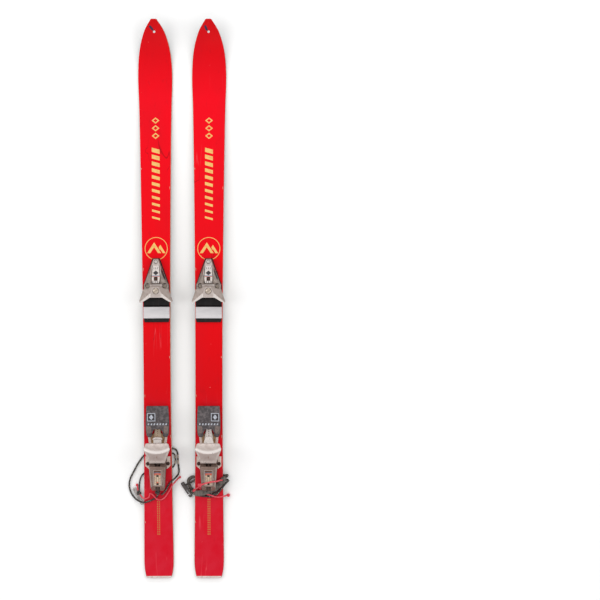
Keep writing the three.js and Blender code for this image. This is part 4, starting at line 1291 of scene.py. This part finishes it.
def jaw_marks():
    """Small raised marks: a bar in the middle of the jaw's rear face and a row along its lip."""
    row = [film(quad(x, x + 1.5, 4.4, 6.4), jaw_top, 0.12, 0.8) for x in (-12.4 + 3.9 * k for k in range(7))]
    return solid_mesh([film(quad(-0.6, 0.6, 13, 18.5), jaw_top, 0.25, 0.6), *row])


def jaw_face():
    """The greyer face inside the jaw's rear frame, a thin skin over it."""
    rings = []
    for k in range(23):
        v = 6.2 + 0.9 * k
        xs = [(jaw_half(v) - 3.9) * (i / 10 - 1) for i in range(21)]
        row = [(x, min(v, crest_line(x) - 2.8)) for x in xs]
        rings.append(raised(row, jaw_top, 0.06) + raised(row[::-1], jaw_top, -0.5))
    return solid_mesh([stack(rings)])


def housing_top(x, v):
    return between([(-57, 29.6), (-50, 31), (-9.6, 36.2)], v)


def housing_flute():
    """A shallow groove between the window and the housing's edge."""
    line = [(12.6, -14), (13.6, -14), (12.6, -56), (11.6, -56)]
    return plate(line, lambda x, v: housing_top(x, v) - 0.7, 44)


def housing_mesh():
    cutters = both(above, (17.2, -16, 35.4), (14.8, -50, 31), (20, -16, 31.6)) + both(housing_flute)
    # A painted highlight on the chamfers, chosen face by face by housing_tone.
    return paint(recast("heel_housing", HEEL, cutters), ("housing_metal", "shade_and_highlight_metal"), housing_tone)


def housing_tone(place, normal):
    """Paler on the chamfers along the long edges: a painted highlight."""
    return 1 if abs(normal.x) > 0.25 and normal.z > 0.3 and place.y < -10 else 0


def window_rim():
    outline = quad(-WINDOW["half"], WINDOW["half"], WINDOW["back"], WINDOW["front"])
    return rim(inset(outline, -1.3), outline, housing_top, 0.3, 0.4)


def pad_mesh():
    cutters = [box((-40, 40), (v, v + 0.8), (11.0, 20)) for v in (127.4, 130.2)]
    for x in (-21.5, 21.5):
        for k in range(5):
            v = 67.5 + 3.4 * k
            cutters.append(box((x - 3.8, x + 3.4), (v, v + 1.5), (11.2, 20)))
    return recast("heel_pad", HEEL, cutters, 0.6, 2, 0.4)


def leg_panel():
    """The paler panel on one of the pad's legs, which ends under its ribs."""
    return plate([(16.2, 70), (25.6, 70), (26.6, 88), (16.6, 88), (14.8, 80)], 12.2, 13.08)


def pad_dashes():
    xs = [-23.4 + 7.1 * k for k in range(7)]
    return [film([(x, 90.4), (x + 3.4, 90.4), (x + 4.4, 94.4), (x + 1, 94.4)], PAD_TOP, 0.12) for x in xs]


def framed_lozenge(x, v=109.5):
    """The pad's badge: a pale frame, a dark square and a pale lozenge, one over the other."""
    lozenge = [(x, v + 6.5), (x + 5.4, v), (x, v - 6.5), (x - 5.4, v)]
    border, square = (quad(x - half, x + half, v - half, v + half) for half in (9.8, 8.2))
    pale = "glide_plastic", "white_print"
    return [
        ("pad_frame", solid_mesh([film(border, PAD_TOP, 0.12)]), "ski", *pale),
        ("pad_square", solid_mesh([film(square, PAD_TOP, 0.2)]), "ski", "black_plastic", "dark_print"),
        ("pad_lozenge", solid_mesh([film(lozenge, PAD_TOP, 0.28, 0.2)]), "ski", *pale),
    ]


def strip_mesh():
    """The perforated length strip."""
    outline = mirrored([(0, 112), (7.2, 112), (7.2, 72), (10.4, 60), (10.8, 24), (0, 24)])
    holes = [bar((0, v, -1), (0, v, 9), 1.2, 16) for v in (78.5 - 4.7 * k for k in range(6))]
    return solid_mesh([soft_plate(outline, 0.3, 3.2, 0.4)], holes)


def strip_rib():
    """One of the two bright ribs on the right strip, which rise towards the treadle."""
    outline = [(4.6, 80), (6.2, 80), (9.6, 58), (8.0, 58)]
    return soft_plate(outline, 3.0, lambda x, v: 4.0 + (80 - v) * 0.12, 0.3)


def base_mesh():
    cutters = both(above, (28.4, 0, 6.4), (28.4, 10, 6.4), (30.4, 0, 4.2))
    cutters += both(above, (25, -16.4, 6.4), (27, -15, 6.4), (26.6, -18, 3.4))
    return recast("heel_base", HEEL, cutters, 0.5, 1, 0.4)


def web_mesh():
    """The rusted plate that joins the base's two arms under the strip."""
    outline = mirrored([(0, 70), (9, 70), (16.4, 62), (19.4, 50), (17.6, 22), (0, 22)])
    return solid_mesh([soft_plate(outline, 0.35, 2.5, 0.4)])


# The treadles: the body's half outline and the heights along it, then the half outline, underside and top
# of the step over it. The left one is a stepped block, the right one a smooth wedge.
PEDALS = {
    "left": (
        [(0, 60.5), (8, 60.5), (10.6, 58.6), (11.4, 56), (9.4, 52), (9.8, 38), (0, 38)],
        [(38, 15.4), (52, 14.2), (60.5, 12)],
        [(0, 60.9), (6, 60.6), (11.8, 57.6), (11.8, 54.6), (6, 56.4), (0, 56.8)],
        (9, 15.6),
    ),
    "right": (
        [(0, 61), (7.2, 61), (10.8, 52), (12.6, 44), (11.4, 38), (0, 38)],
        [(38, 17.4), (47, 16.4), (61, 11)],
        [(0, 47.2), (7, 46.2), (9.4, 42), (8.6, 38.2), (0, 38.2)],
        (12, 18.2),
    ),
}


def pedal_mesh(side):
    half, heights, step, levels = PEDALS[side]
    body = plate(mirrored(half), 7, lambda x, v: between(heights, v))
    return cast([body, plate(mirrored(step), *levels)], keep=0.4)


def label_rows():
    """The printed scale in the window, open along the middle where the pointer runs."""
    half, back = WINDOW["half"] - 0.3, WINDOW["back"] + 0.3
    sides = [(-half, -2.9), (2.9, half)]
    ticks = []
    for k in range(6):
        v = -34.6 - 3.1 * k
        reach = 3.4 if k % 2 else 2.2
        ticks += [quad(x, x + reach, v, v + 0.9) for x in (0.8 - half, half - 0.8 - reach)]
    orange = [quad(-half, half, -27.6, -24.4), *(quad(*x, -29.4, -27.4) for x in sides)]
    rows = []
    for name, outlines, up, slot, finish in (
        ("ink", [quad(-half, half, -22.6, -17.8)], 0.2, "black_plastic", "brown_print"),
        ("blue", [quad(-half, half, -24.2, -22.8)], 0.2, "indicator", "blue_print"),
        ("orange", orange, 0.2, "indicator", "orange_print"),
        ("cream", [quad(*x, back, -29.6) for x in sides], 0.2, "indicator", "cream_label"),
        ("brown", ticks, 0.3, "indicator", "brown_print"),
    ):
        mesh = solid_mesh([film(outline, WINDOW["floor"], up, 0.2) for outline in outlines])
        rows.append((f"label_{name}", mesh, "heel_unit", slot, finish))
    return rows


def dress_heels():
    tape = box((-2.2, 2.2), (-48.4, -33.2), (29.2, 29.7))
    shared = [
        ("heel_jaw_skin", jaw_mesh(), "heel_jaw", "cast_metal", "jaw_metal"),
        ("heel_housing_skin", housing_mesh(), "heel_unit", "housing_metal"),
        ("heel_pad_skin", pad_mesh(), "ski", "worn_black_plastic"),
        ("heel_base_skin", base_mesh(), "ski", "worn_steel", "ear_steel"),
        ("heel_web", web_mesh(), "ski", "worn_steel", "rusted_steel"),
        ("jaw_face", jaw_face(), "heel_jaw", "cast_metal", "worn_cast_metal"),
        ("jaw_marks", jaw_marks(), "heel_jaw", "cast_metal", "brown_print"),
        ("window_rim", solid_mesh([window_rim()]), "heel_unit", "housing_metal", "worn_cast_metal"),
        ("pointer_tape", solid_mesh([tape]), "heel_indicator", "indicator", "cream_label"),
        ("leg_panels", solid_mesh(both(leg_panel)), "ski", "worn_black_plastic", "pad_leg_plastic"),
        ("pad_dashes", solid_mesh(pad_dashes()), "ski", "glide_plastic", "white_print"),
        *label_rows(),
    ]
    own = {
        "left": [("heel_strip_skin", strip_mesh(), "ski", "worn_steel"), *framed_lozenge(-14.5)],
        "right": [
            ("heel_strip_skin", strip_mesh(), "ski", "worn_steel", "polished_metal"),
            ("strip_ribs", solid_mesh(both(strip_rib)), "ski", "polished_metal"),
            *framed_lozenge(15.5),
        ],
    }
    ear_screw = screw_mesh(4.2, 2.0, 5.6)
    for side in SIDES:
        matrix = binding_frame(side, HEEL)
        pedal = ("heel_pedal_skin", pedal_mesh(side), "heel_jaw", "polished_metal")
        dress(side, matrix, [*shared, *own[side], pedal])
        for x, name in ((-24.4, "near"), (24.4, "far")):
            seat = matrix @ Matrix.Translation((x * MM, -4 * MM, 0))
            dress(side, seat, [(f"ear_{name}_screw", ear_screw, "ski", "screw_steel", "dark_screw_steel")])


dress_heels()


# ---- The leash hooks, and the CAD parts that keep their own shape ----

KEPT = {
    "core": "wood",
    "toe_plunger": "screw_steel",
    "toe_spring": "spring_steel",
    "toe_indicator": "indicator",
    "toe_setting_screw": "screw_steel",
    "heel_axle": "screw_steel",
    "heel_plunger": "dark_screw_steel",
    "heel_spring": "spring_steel",
    "heel_indicator": "orange_print",
    "heel_setting_screw": "dark_screw_steel",
}


def dress_hooks():
    for side, finish in (("left", "hook_metal"), ("right", "dark_hook")):
        mesh = cast([cad_solid(f"{side}_leash_hook", ski_frame(side))], [], 0.4, 2, 0.5)
        dress(side, ski_frame(side), [("leash_hook_skin", mesh, "heel_unit", "hook_metal", finish)])


def finish_kept_nodes():
    for side in SIDES:
        for node, finish in KEPT.items():
            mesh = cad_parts[f"{side}_{node}"].data
            if not mesh.materials:
                mesh.materials.append(FINISHES[finish])
            for k in range(len(mesh.materials)):
                mesh.materials[k] = FINISHES[finish]


dress_hooks()
finish_kept_nodes()
